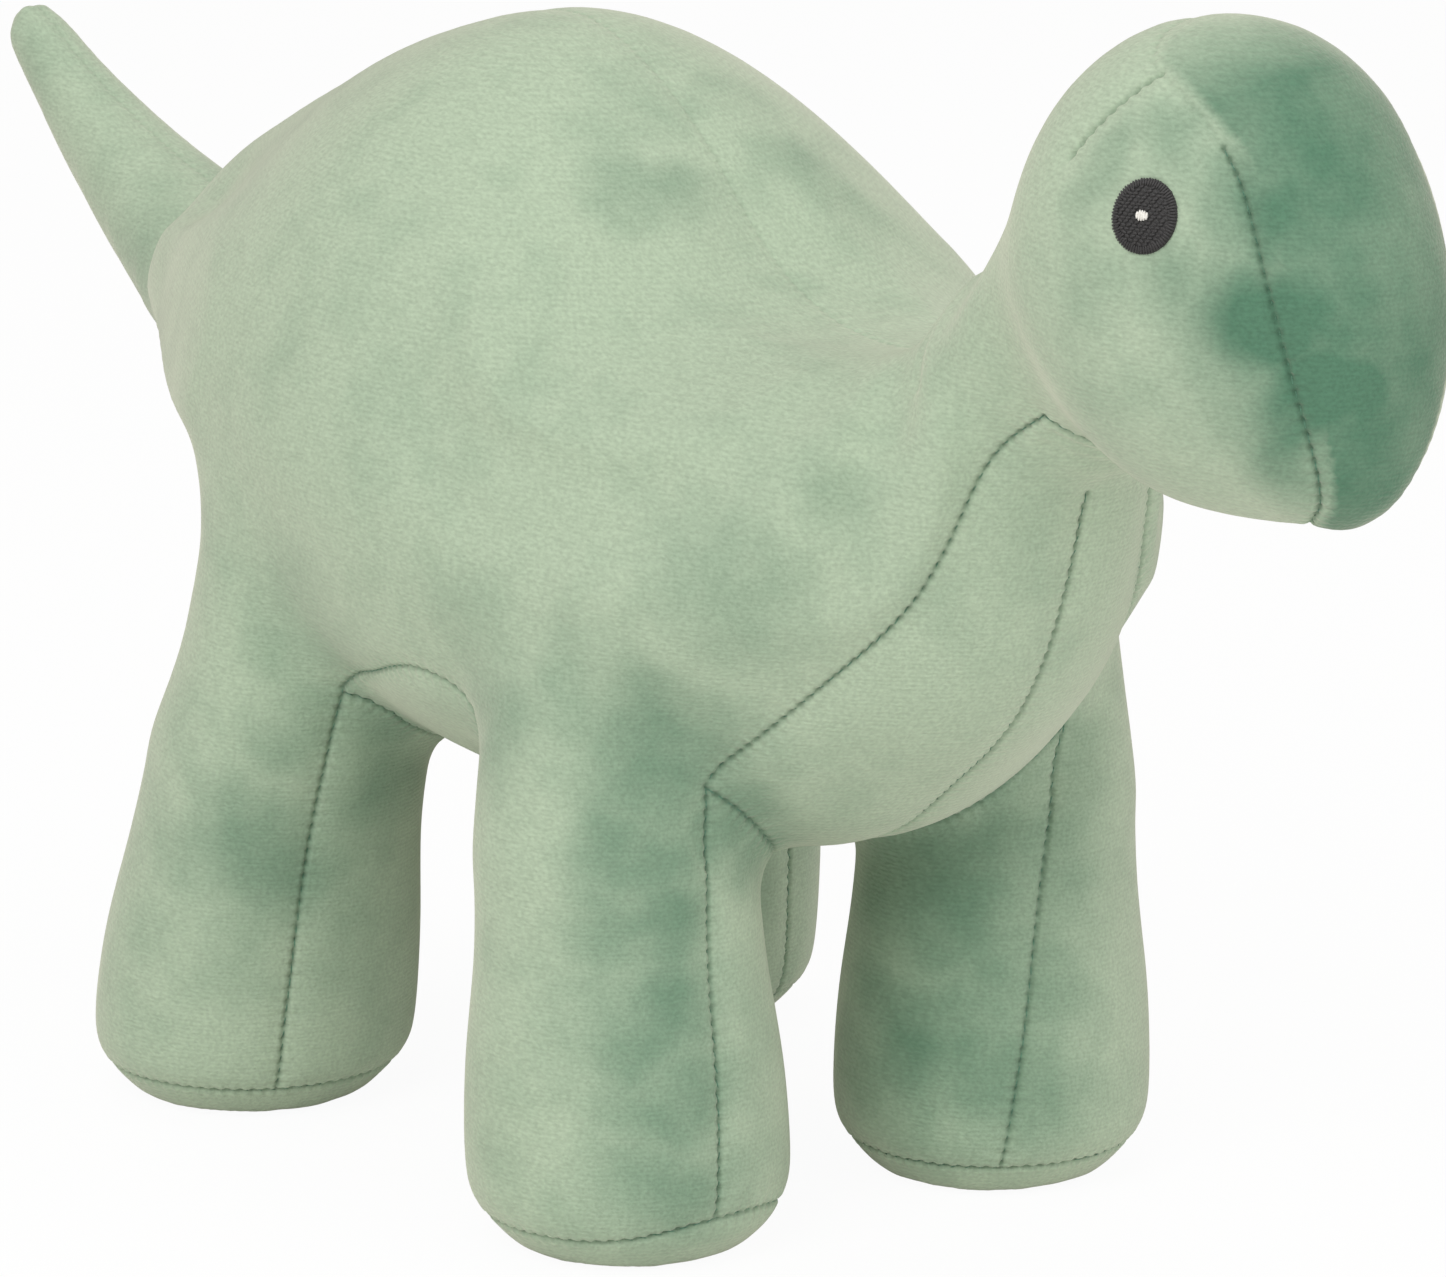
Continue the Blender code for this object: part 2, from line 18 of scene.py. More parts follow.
import bmesh
import bpy
import numpy as np
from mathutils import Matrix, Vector
from mathutils.bvhtree import BVHTree
from mathutils.kdtree import KDTree
from mathutils.noise import noise_vector, seed_set


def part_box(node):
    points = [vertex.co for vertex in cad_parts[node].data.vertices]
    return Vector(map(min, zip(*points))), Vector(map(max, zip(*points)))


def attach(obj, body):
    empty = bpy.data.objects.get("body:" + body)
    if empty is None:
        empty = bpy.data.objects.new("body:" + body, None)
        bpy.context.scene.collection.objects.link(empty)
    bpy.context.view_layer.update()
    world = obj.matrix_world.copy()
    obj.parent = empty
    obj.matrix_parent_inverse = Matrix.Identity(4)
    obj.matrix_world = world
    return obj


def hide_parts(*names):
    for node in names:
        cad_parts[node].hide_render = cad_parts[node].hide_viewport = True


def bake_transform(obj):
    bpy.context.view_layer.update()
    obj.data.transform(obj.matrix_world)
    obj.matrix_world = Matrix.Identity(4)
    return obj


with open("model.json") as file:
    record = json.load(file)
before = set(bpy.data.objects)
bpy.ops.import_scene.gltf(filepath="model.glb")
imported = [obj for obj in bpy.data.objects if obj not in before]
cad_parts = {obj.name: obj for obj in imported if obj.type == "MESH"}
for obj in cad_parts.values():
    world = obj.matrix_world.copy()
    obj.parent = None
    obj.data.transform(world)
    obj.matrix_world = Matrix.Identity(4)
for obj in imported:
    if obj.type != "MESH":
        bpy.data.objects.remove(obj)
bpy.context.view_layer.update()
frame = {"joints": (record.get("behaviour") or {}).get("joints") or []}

LOG = logging.getLogger("stuffed_dinosaur")
MM = 0.001
PHOTO_WIDTH = 1446
SEED = 7
LEFT_RIGHT = ("left", "right")
WHITE = (1.0, 1.0, 1.0, 1.0)
# How far a smoothing step moves a point towards its neighbours
EASE = 0.5
# Where most of a noise's values lie
NOISE_RANGE = (0.3, 0.7)
# A band wave repeats every so much of its scaled length
WAVE_REPEAT = 0.314


# Shared helpers


def linear(hex_colour: str) -> tuple[float, float, float, float]:
    """Turn an sRGB hex colour into linear RGBA.

    Args:
        hex_colour: A colour such as "#A6C4A5".

    Returns:
        Linear red, green and blue from 0 to 1, and an alpha of 1.
    """
    channels = [int(hex_colour[k : k + 2], 16) / 255 for k in (1, 3, 5)]
    red, green, blue = (c / 12.92 if c <= 0.04045 else ((c + 0.055) / 1.055) ** 2.4 for c in channels)
    return red, green, blue, 1.0


def add_node(
    tree: bpy.types.NodeTree,
    kind: str,
    settings: dict[str, Any] | None = None,
    values: dict[Any, Any] | None = None,
    links: dict[Any, bpy.types.NodeSocket] | None = None,
) -> bpy.types.Node:
    """Add a node with its settings, its sockets' values and its links.

    Args:
        tree: The tree that gets the node.
        kind: The node's type name.
        settings: Properties of the node itself.
        values: Default values by input name or number.
        links: Output sockets of other nodes by input name or number.

    Returns:
        The new node.
    """
    node = tree.nodes.new(kind)
    for name, value in (settings or {}).items():
        setattr(node, name, value)
    for name, value in (values or {}).items():
        node.inputs[name].default_value = value
    for name, socket in (links or {}).items():
        tree.links.new(socket, node.inputs[name])
    return node


def mapped(
    tree: bpy.types.NodeTree,
    value: bpy.types.NodeSocket,
    low: float,
    high: float,
    start: float = 0.0,
    end: float = 1.0,
) -> bpy.types.NodeSocket:
    """Map a value from start..end to low..high, clamped.

    Args:
        tree: The tree that gets the node.
        value: The value to map.
        low: What it gives at the start.
        high: What it gives at the end.
        start: Where its range starts.
        end: Where its range ends.

    Returns:
        The mapped value.
    """
    numbers = {"From Min": start, "From Max": end, "To Min": low, "To Max": high}
    return add_node(tree, "ShaderNodeMapRange", values=numbers, links={"Value": value}).outputs["Result"]


def noise(
    tree: bpy.types.NodeTree, place: bpy.types.NodeSocket, size_mm: float, detail: float = 2.0
) -> bpy.types.NodeSocket:
    """Add a noise whose spots are about so many millimetres across, and return its value."""
    numbers = {"Scale": 1 / (size_mm * MM), "Detail": detail}
    return add_node(tree, "ShaderNodeTexNoise", values=numbers, links={"Vector": place}).outputs["Fac"]


def combined(
    tree: bpy.types.NodeTree,
    operation: str,
    first: bpy.types.NodeSocket,
    second: bpy.types.NodeSocket | float,
) -> bpy.types.NodeSocket:
    """Combine a value with another, or with a number, by a math operation and return the result."""
    node = add_node(tree, "ShaderNodeMath", {"operation": operation}, links={0: first})
    if isinstance(second, bpy.types.NodeSocket):
        tree.links.new(second, node.inputs[1])
    else:
        node.inputs[1].default_value = second
    return node.outputs[0]


def blended(
    tree: bpy.types.NodeTree,
    share: bpy.types.NodeSocket,
    first: bpy.types.NodeSocket | str,
    second: bpy.types.NodeSocket | str,
) -> bpy.types.NodeSocket:
    """Blend two colours, each a socket or a hex colour, by a share and return the result."""
    node = add_node(tree, "ShaderNodeMix", {"data_type": "RGBA"}, links={0: share})
    for number, colour in ((6, first), (7, second)):
        if isinstance(colour, str):
            node.inputs[number].default_value = linear(colour)
        else:
            tree.links.new(colour, node.inputs[number])
    return node.outputs[2]


def mix_shaders(
    tree: bpy.types.NodeTree,
    share: bpy.types.NodeSocket,
    first: bpy.types.NodeSocket,
    second: bpy.types.NodeSocket,
    output: str,
) -> None:
    """Mix two shaders by a share and show the result at the named output."""
    mix = add_node(tree, "ShaderNodeMixShader", links={0: share, 1: first, 2: second})
    tree.links.new(mix.outputs["Shader"], tree.nodes[output].inputs["Surface"])


def new_material(name: str) -> tuple[bpy.types.Material, bpy.types.NodeTree, bpy.types.Node]:
    """Return a new material, its node tree and its main shader."""
    material = bpy.data.materials.new(name)
    material.use_nodes = True
    return material, material.node_tree, material.node_tree.nodes["Principled BSDF"]


def add_object(name: str, mesh: bpy.types.Mesh) -> bpy.types.Object:
    """Add a mesh to the scene as an object at the origin."""
    obj = bpy.data.objects.new(name, mesh)
    bpy.context.scene.collection.objects.link(obj)
    return obj


def mesh_of(bm: bmesh.types.BMesh, name: str) -> bpy.types.Mesh:
    """Turn a bmesh into a mesh and free it."""
    mesh = bpy.data.meshes.new(name)
    bm.to_mesh(mesh)
    bm.free()
    return mesh


def rows_of(items: Any, name: str, width: int = 3, kind: type = np.float32) -> np.ndarray:
    """Return a property of each item of a mesh as rows of numbers.

    Args:
        items: The mesh's points, edges or the like.
        name: The property's name.
        width: How many numbers each item holds.
        kind: The type of number.

    Returns:
        One row per item.
    """
    flat = np.empty(len(items) * width, kind)
    items.foreach_get(name, flat)
    return flat.reshape(-1, width)


def positions(mesh: bpy.types.Mesh) -> np.ndarray:
    """Return a mesh's points as rows of x, y and z."""
    return rows_of(mesh.vertices, "co").astype(np.float64)


def set_positions(mesh: bpy.types.Mesh, points: np.ndarray) -> None:
    """Write rows of x, y and z back to a mesh."""
    mesh.vertices.foreach_set("co", points.astype(np.float32).ravel())
    mesh.update()


def point_normals(mesh: bpy.types.Mesh) -> np.ndarray:
    """Return the smooth normal at each point of a mesh."""
    return rows_of(mesh.vertex_normals, "vector").astype(np.float64)


def edge_ends(mesh: bpy.types.Mesh) -> np.ndarray:
    """Return the two points of each edge of a mesh."""
    return rows_of(mesh.edges, "vertices", 2, np.int32)


def neighbour_mean(values: np.ndarray, ends: np.ndarray) -> np.ndarray:
    """Return the mean of each point's neighbours.

    Args:
        values: One row of values per point.
        ends: The two points of each edge.

    Returns:
        One row of means per point.
    """
    count = len(values)
    start = np.concatenate([ends[:, 0], ends[:, 1]])
    stop = np.concatenate([ends[:, 1], ends[:, 0]])
    share = np.maximum(np.bincount(start, minlength=count), 1)
    sums = [np.bincount(start, weights=values[stop, k], minlength=count) for k in range(values.shape[1])]
    return np.stack(sums, axis=1) / share[:, None]


def evened(points: np.ndarray, ends: np.ndarray, rounds: int, back: float) -> np.ndarray:
    """Smooth points evenly, each round drawn in and then let out again so that the volume stays.

    Args:
        points: One row per point.
        ends: The two points of each edge.
        rounds: How often they are smoothed.
        back: How far each round is let out again.

    Returns:
        The smoothed rows.
    """
    for _ in range(rounds):
        points = points + EASE * (neighbour_mean(points, ends) - points)
        points = points - back * (neighbour_mean(points, ends) - points)
    return points


def run_length(line: np.ndarray) -> np.ndarray:
    """Return how far along a line each of its points lies."""
    return np.concatenate([[0], np.cumsum(np.linalg.norm(np.diff(line, axis=0), axis=1))])


def tree_of(places: np.ndarray) -> KDTree:
    """Return places as a tree that finds the one nearest to a point."""
    tree = KDTree(len(places))
    for k, place in enumerate(places):
        tree.insert(place, k)
    tree.balance()
    return tree


def shade_smooth(mesh: bpy.types.Mesh) -> None:
    """Shade every face of a mesh smoothly."""
    mesh.polygons.foreach_set("use_smooth", np.ones(len(mesh.polygons), bool))


def set_attribute(mesh: bpy.types.Mesh, name: str, values: np.ndarray) -> None:
    """Store one number, or one vector, per point of a mesh."""
    vector = values.ndim == 2
    layer = mesh.attributes.new(name, "FLOAT_VECTOR" if vector else "FLOAT", "POINT")
    layer.data.foreach_set("vector" if vector else "value", values.astype(np.float32).ravel())


def surface_of(mesh: bpy.types.Mesh) -> BVHTree:
    """Return a mesh as a surface that places can be laid on."""
    bm = bmesh.new()
    bm.from_mesh(mesh)
    surface = BVHTree.FromBMesh(bm)
    bm.free()
    return surface


def applied(obj: bpy.types.Object) -> bpy.types.Mesh:
    """Turn an object's evaluated shape into its plain mesh and drop its modifiers."""
    graph = bpy.context.evaluated_depsgraph_get()
    mesh = bpy.data.meshes.new_from_object(obj.evaluated_get(graph))
    obj.modifiers.clear()
    old = obj.data
    obj.data = mesh
    bpy.data.meshes.remove(old)
    return mesh


def smooth_through(given: np.ndarray, station: float) -> np.ndarray:
    """Return the row at a station, counted in rows, on a smooth curve through the given rows."""
    last = len(given) - 1
    i = min(int(station), last - 1)
    t = station - i
    before, start, end, after = (given[min(max(j, 0), last)] for j in (i - 1, i, i + 1, i + 2))
    cubic = (3 * start - before - 3 * end + after) * t**3
    square = (2 * before - 5 * start + 4 * end - after) * t**2
    return start + (cubic + square + (end - before) * t) / 2


def joint_place(name: str) -> np.ndarray:
    """Return a joint's place in the CAD model, in millimetres."""
    return np.array(next(joint["pos_m"] for joint in frame["joints"] if joint["name"] == name)) / MM


# Finishes


@dataclass(frozen=True)
class Plush:
    """Short-pile polyester plush, its pile raised by brushing.

    The upright pile gives a dull face, a pale bloom where it is seen edge on, and deeper green where it
    lies the other way. The same deep green is painted as shade under the belly and on the inner legs,
    and a darker green is painted as shade in the grooves of the seams and along the folds.
    """

    name: str = "brushed_polyester_plush"
    light: str = "#AFC0A7"
    deep: str = "#557D65"
    # Painted shade in the grooves of the seams and darts and along the folds
    groove_shade: str = "#4A6C58"
    bloom: str = "#EFE4D8"
    pile_mm: float = 0.7
    pile_lean: float = 0.55
    pile_height_mm: float = 0.35
    pile_range: tuple[float, float] = (0.32, 0.68)
    pile_tone: tuple[float, float] = (0.89, 1.08)
    rib_mm: float = 0.9
    rib_height: float = 0.25
    rib_tone: tuple[float, float] = (0.965, 1.02)
    wisp_mm: float = 13.0
    wisp_shift: tuple[float, float] = (-0.11, 0.11)
    cloud_mm: float = 50.0
    cloud_shift: tuple[float, float] = (-0.08, 0.11)
    roughness: tuple[float, float] = (0.80, 0.97)

    def material(self) -> bpy.types.Material:
        """Build the plush from its pile, its patches of turned pile and painted shade, and the shade painted
        in its grooves.
        """
        material, tree, shader = new_material(self.name)
        place = add_node(tree, "ShaderNodeTexCoord").outputs["Object"]
        # This attribute holds the turned pile and the shade painted under the belly and on the inner legs
        nap_and_shade = add_node(tree, "ShaderNodeAttribute", {"attribute_name": "nap_and_shade"}).outputs["Fac"]
        # This attribute holds the shade painted along the grooves and folds
        seam = add_node(tree, "ShaderNodeAttribute", {"attribute_name": "seam"}).outputs["Fac"]
        # Wisps and clouds break up the edges of the patches of turned pile and of painted shade
        wisp = mapped(tree, noise(tree, place, self.wisp_mm, 3.0), *self.wisp_shift, *NOISE_RANGE)
        cloud = mapped(tree, noise(tree, place, self.cloud_mm), *self.cloud_shift, *NOISE_RANGE)
        darkened = combined(tree, "ADD", combined(tree, "ADD", nap_and_shade, wisp), cloud)
        darkened = mapped(tree, darkened, 0.0, 1.0)
        # The pile leans along the toy, so its tufts are longer that way
        longer = {"Scale": (self.pile_lean, 1.0, 1.0)}
        lean = add_node(tree, "ShaderNodeMapping", values=longer, links={"Vector": place})
        tuft = noise(tree, lean.outputs["Vector"], self.pile_mm)
        wave = {
            "Scale": WAVE_REPEAT / (self.rib_mm * MM),
            "Distortion": 3.0,
            "Detail": 1.0,
            "Detail Scale": 2.0,
        }
        ribs = add_node(tree, "ShaderNodeTexWave", {"bands_direction": "Z"}, wave, {"Vector": place})
        rib = ribs.outputs["Fac"]
        tuft_tone = mapped(tree, tuft, *self.pile_tone, *self.pile_range)
        tone = combined(tree, "MULTIPLY", tuft_tone, mapped(tree, rib, *self.rib_tone))
        # The turned pile and the painted shade take the deep green alike
        green = blended(tree, darkened, self.light, self.deep)
        piled = add_node(
            tree,
            "ShaderNodeMix",
            {"data_type": "RGBA", "blend_type": "MULTIPLY"},
            values={0: 1.0},
            links={6: green, 7: tone},
        ).outputs[2]
        height = combined(tree, "ADD", tuft, combined(tree, "MULTIPLY", rib, self.rib_height))
        raised = {"Strength": 0.45, "Distance": self.pile_height_mm * MM}
        bump = add_node(tree, "ShaderNodeBump", values=raised, links={"Height": height})
        # Painted shade: the cloth darkens towards the groove colour along the seams, darts and folds
        tree.links.new(blended(tree, seam, piled, self.groove_shade), shader.inputs["Base Color"])
        tree.links.new(mapped(tree, tuft, *self.roughness), shader.inputs["Roughness"])
        tree.links.new(bump.outputs["Normal"], shader.inputs["Normal"])
        shader.inputs["Specular IOR Level"].default_value = 0.15
        shader.inputs["Sheen Weight"].default_value = 0.55
        shader.inputs["Sheen Roughness"].default_value = 0.42
        shader.inputs["Sheen Tint"].default_value = linear(self.bloom)
        return material


@dataclass(frozen=True)
class Thread:
    """Twisted polyester thread: a soft gloss, with shade painted into the low line where its plies meet."""

    name: str
    colour: str
    shade: str
    ply_mm: float = 0.35
    ply_height_mm: float = 0.1
    roughness: tuple[float, float] = (0.45, 0.65)

    def material(self) -> bpy.types.Material:
        """Build the thread from its plies."""
        material, tree, shader = new_material(self.name)
        place = add_node(tree, "ShaderNodeTexCoord").outputs["Object"]
        ply = noise(tree, place, self.ply_mm)
        # Painted shade: the thread's colour darkens where its ply bump is low
        colour = blended(tree, mapped(tree, ply, 0.0, 1.0, *NOISE_RANGE), self.shade, self.colour)
        raised = {"Strength": 0.4, "Distance": self.ply_height_mm * MM}
        bump = add_node(tree, "ShaderNodeBump", values=raised, links={"Height": ply})
        tree.links.new(colour, shader.inputs["Base Color"])
        tree.links.new(mapped(tree, ply, *self.roughness), shader.inputs["Roughness"])
        tree.links.new(bump.outputs["Normal"], shader.inputs["Normal"])
        shader.inputs["Sheen Weight"].default_value = 0.15
        return material


SAGE_PLUSH = Plush()
SEWING_THREAD = Thread("green_polyester_thread", "#5E8F76", "#3D6450")
BLACK_THREAD = Thread("black_rayon_thread", "#272423", "#080707")
WHITE_THREAD = Thread("white_rayon_thread", "#F6F4EF", "#D9D5CC")
EYE_THREAD = 0.29 * MM
GLINT_THREAD = 0.3 * MM


# Soft forms


@dataclass(frozen=True)
class Section:
    """One cross-section of a soft form, in millimetres and degrees.

    It is an egg round a middle: its own reach above and below, and a ridge over 1 where its top narrows.
    """

    x: float
    z: float
    tilt: float
    half_width: float
    up: float
    down: float
    ridge: float = 1.0
    y: float = 0.0

    def row(self) -> list[float]:
        """Return the section as numbers that a curve can run through."""
        return [self.x, self.z, self.tilt, self.half_width, self.up, self.down, self.ridge, self.y]


class SoftForm:
    """A closed swelling form that runs smoothly through its sections."""

    STEPS = 6
    SIDES = 64

    def __init__(self, sections: Sequence[Section]) -> None:
        """Keep the sections as rows."""
        self.given = np.array([section.row() for section in sections], float)

    def at(self, station: float, bearing: float) -> np.ndarray:
        """Return a place on the form.

        Args:
            station: How far along the form, counted in sections.
            bearing: Degrees round the section: 0 is the left, 90 the top and -90 the underside.

        Returns:
            The place in millimetres.
        """
        x, z, tilt, half_width, up, down, ridge, y = smooth_through(self.given, station)
        rise, side = math.sin(math.radians(bearing)), math.cos(math.radians(bearing))
        if rise > 0:
            side = math.copysign(abs(side) ** ridge, side)
        reach = (up if rise > 0 else down) * rise
        lean = math.radians(tilt)
        return np.array([x - math.sin(lean) * reach, y + half_width * side, z + math.cos(lean) * reach])

    def through(self, marks: Iterable[tuple[float, float]]) -> list[np.ndarray]:
        """Return the places at some stations and bearings."""
        return [self.at(station, bearing) for station, bearing in marks]

    def along(self, bearing: float, start: float, end: float, count: int) -> list[np.ndarray]:
        """Return so many places at one bearing, from one station to another."""
        return [self.at(station, bearing) for station in np.linspace(start, end, count)]

    def add_to(self, bm: bmesh.types.BMesh) -> None:
        """Add the form's closed skin to a mesh, in metres."""
        count = (len(self.given) - 1) * self.STEPS
        rings = []
        for k in range(count + 1):
            places = [self.at(k / self.STEPS, 360 * n / self.SIDES) * MM for n in range(self.SIDES)]
            rings.append([bm.verts.new(place) for place in places])
        for low, high in zip(rings, rings[1:]):
            for k in range(self.SIDES):
                n = (k + 1) % self.SIDES
                bm.faces.new((low[k], low[n], high[n], high[k]))
        bm.faces.new(rings[0])
        bm.faces.new(rings[-1])


# Seams, folds, and patches of turned pile and painted shade


class SeamKind(Enum):
    """What a line on the cloth is."""

    PANEL = "panel"
    COVERED = "covered"
    DART = "dart"
    FOLD = "fold"

    @property
    def stitched(self) -> bool:
        """Whether the line's thread shows."""
        return self is SeamKind.PANEL


@dataclass(frozen=True)
class SeamSection:
    """How a kind of line is drawn into the cloth, in millimetres.

    The groove is the line itself, the roll is the cloth that turns in towards it, and the pucker is
    the ripple that the stitches draw up on both sides. The painted shade is how far the groove's darker
    colour is painted beside the line.
    """

    groove: float
    groove_width: float
    roll: float
    roll_width: float
    pucker: float
    pucker_width: float
    groove_shade_share: float
    groove_power: float = 1.6
    stitch_pull: float = 0.22
    groove_shade_width: float = 0.55
    groove_shade_wave: float = 0.2

    def depth(self, reach: np.ndarray, wave: np.ndarray) -> np.ndarray:
        """Return how deep the cloth is drawn in beside the line.

        Args:
            reach: Distances from the line.
            wave: How near a stitch each of them is, from -1 to 1.

        Returns:
            The depth at each of them.
        """
        groove = self.groove * np.exp(-((reach / self.groove_width) ** self.groove_power))
        groove = groove * (1 + self.stitch_pull * wave)
        roll = self.roll * np.exp(-((reach / self.roll_width) ** 2))
        ripple = self.pucker * wave * np.exp(-((reach / self.pucker_width) ** 2))
        return groove + roll + ripple

    def shade(self, reach: np.ndarray, wave: np.ndarray) -> np.ndarray:
        """Return how far painted shade darkens the cloth beside the line, for the same distances."""
        even = 1.0 - self.groove_shade_wave
        return self.groove_shade_share * np.exp(-((reach / self.groove_shade_width) ** 2)) * (even + self.groove_shade_wave * wave)


# Groove, roll and pucker, each with its width, and the painted shade in the groove
SEAM_SECTIONS = {
    SeamKind.PANEL: SeamSection(0.85, 0.55, 0.6, 3.6, 0.16, 3.0, 0.5),
    SeamKind.COVERED: SeamSection(0.25, 0.7, 0.35, 3.5, 0.05, 2.5, 0.12),
    SeamKind.DART: SeamSection(0.8, 0.55, 0.5, 3.2, 0.14, 2.6, 0.4),
    SeamKind.FOLD: SeamSection(0.0, 1.0, 0.9, 2.2, 0.0, 1.0, 0.1),
}
STITCH_PITCH = 2.7 * MM
TRACE_STEPS = 24
TRACE_ROUNDS = 3


@dataclass
class Seam:
    """A line on the cloth through a few places, in millimetres."""

    name: str
    kind: SeamKind
    places: list[np.ndarray]
    spacing: float = 0.4 * MM

    def mirrored(self) -> "Seam":
        """Return the same line on the toy's other side."""
        flipped = [place * (1, -1, 1) for place in self.places]
        return Seam(f"{self.name}_mirror", self.kind, flipped, self.spacing)

    def traced(self, surface: BVHTree) -> np.ndarray:
        """Run a smooth curve through the places and lay it on the cloth.

        Args:
            surface: The cloth.

        Returns:
            Close points on the cloth, evenly spaced, in metres.
        """
        given = np.array(self.places) * MM
        stations = np.linspace(0, len(given) - 1, TRACE_STEPS * (len(given) - 1) + 1)
        laid = np.array([surface.find_nearest(Vector(smooth_through(given, s)))[0] for s in stations])
        for _ in range(TRACE_ROUNDS):
            laid[1:-1] = (laid[:-2] + 2 * laid[1:-1] + laid[2:]) / 4
        gone = run_length(laid)
        along = np.linspace(0, gone[-1], max(int(gone[-1] / self.spacing), 2))
        even = np.stack([np.interp(along, gone, laid[:, k]) for k in range(3)], axis=1)
        return np.array([surface.find_nearest(Vector(row))[0] for row in even])


@dataclass(frozen=True)
class TurnedPanel:
    """A middle panel whose pile lies the other way, in millimetres.

    It shows inside the seams at its edge, and fades in away from its start after a lead, which is a
    share of the fade.
    """

    edges: tuple[str, ...]
    start: np.ndarray
    strength: float
    fade: float = 26.0
    lead: float = 0.35
    edge_width: float = 2.0


@dataclass(frozen=True)
class NapAndShadePatch:
    """A darker patch, for pile that lies the other way and for painted shade.

    Its middle and reach are in millimetres.
    """

    middle: np.ndarray
    reach: float
    strength: float


# The toy's soft parts


class SoftPart(ABC):
    """A stuffed part of the toy: its form, its sewn lines and its darker patches, some of them painted shade.
    """

    body: str
    nodes: list[str]

    @abstractmethod
    def form(self) -> SoftForm:
        """Return the part's form."""

    @abstractmethod
    def seams(self) -> list[Seam]:
        """Return the lines sewn on the part."""

    @abstractmethod
    def patches(self) -> list[NapAndShadePatch]:
        """Return the part's darker patches of turned pile and painted shade."""

    def bend(self) -> tuple[np.ndarray, np.ndarray] | None:
        """Return where the bend from the trunk starts and ends, in metres, or None for the trunk."""
        return None


@dataclass
class Leg(SoftPart):
    """A round leg that leans from its thigh to a swelling foot, in millimetres and degrees.

    A turn is counted round the leg from its front towards the toy's outside. The front seam may twist
    on its way down, as a hand-sewn leg's does.
    """

    body: str
    side: int
    foot: tuple[float, float]
    thigh: tuple[float, float]
    radius: float
    seam_turn: float
    seam_twist: float
    marks: list[tuple[float, float, float, float]]
    sole_lift: float = 0.0
    hip_height: float = 78.0
    lean_height: float = 105.0
    lean_power: float = 1.6
    corner_height: float = 96.0
    groin_height: float = 78.0
    sole_height: float = 6.5
    bend_length: float = 30.0
    cut_height: float = 66.0

    def __post_init__(self) -> None:
        """Name the CAD nodes that the leg's skin stands for."""
        self.nodes = [f"{self.body}_{part}" for part in ("stuffing", "outer_panel", "inner_panel", "sole")]

    def form(self) -> SoftForm:
        """Return the leg, from inside the trunk to its flat sole."""
        # Height as a share of the hip's, and radius as a share of the leg's
        shape = [
            (1.64, 0.74),
            (1.26, 0.90),
            (1.00, 1.00),
            (0.90, 1.00),
            (0.72, 1.03),
            (0.46, 1.12),
            (0.24, 1.15),
            (0.12, 1.12),
            (0.05, 0.99),
            (0.02, 0.76),
        ]
        sections = []
        for height, share in shape:
            z, r = self.hip_height * height, self.radius * share
            lean = min(z / self.lean_height, 1.0)
            x = self.foot[0] + (self.thigh[0] - self.foot[0]) * lean**self.lean_power
            y = self.foot[1] + (self.thigh[1] - self.foot[1]) * lean
            sections.append(Section(x, z, -90.0, r, r, r, 1.0, self.side * y))
        return SoftForm(sections)

    def on(self, height: float, turn: float) -> np.ndarray:
        """Return a place on the leg at a height and a turn."""
        form = self.form()
        heights = form.given[::-1, 1]
        station = float(np.interp(height, heights, np.arange(len(heights))[::-1]))
        return form.at(station, 90.0 - self.side * turn)

    def corner(self, turn: float) -> np.ndarray:
        """Return where a seam of the leg meets the trunk's seams."""
        return self.on(self.corner_height, turn)

    def seams(self) -> list[Seam]:
        """Return the leg's front and back seams, its groin and the seam round its sole."""
        front, back, groin, sole = [], [], [], []
        for share in np.linspace(0, 1, 8):
            height = self.corner_height + (self.sole_height - self.corner_height) * share
            lift = self.sole_lift * share**6
            front.append(self.on(height + lift, self.seam_turn + self.seam_twist * share))
            back.append(self.on(height, 180.0))
        for turn in np.linspace(self.seam_turn, -180.0, 9):
            dip = math.cos(math.radians(turn)) ** 2
            groin.append(self.on(self.groin_height + (self.corner_height - self.groin_height) * dip, turn))
        for turn in np.linspace(0, 360, 25):
            lift = self.sole_lift * max(math.cos(math.radians(turn - self.seam_turn)), 0.0) ** 4
            sole.append(self.on(self.sole_height + lift, turn))
        lines = {"front": front, "back": back, "groin": groin, "sole": sole}
        return [Seam(f"{self.body}_{name}_seam", SeamKind.PANEL, places) for name, places in lines.items()]

    def patches(self) -> list[NapAndShadePatch]:
        """Return the leg's darker patches, each marked by height, turn, reach and strength."""
        return [NapAndShadePatch(self.on(*mark[:2]), *mark[2:]) for mark in self.marks]

    def bend(self) -> tuple[np.ndarray, np.ndarray]:
        """Return the stretch below the cut where the leg takes over from the trunk."""
        middle = (self.on(self.cut_height, 0.0) + self.on(self.cut_height, 180.0)) / 2
        return middle * MM, (middle - (0, 0, self.bend_length)) * MM


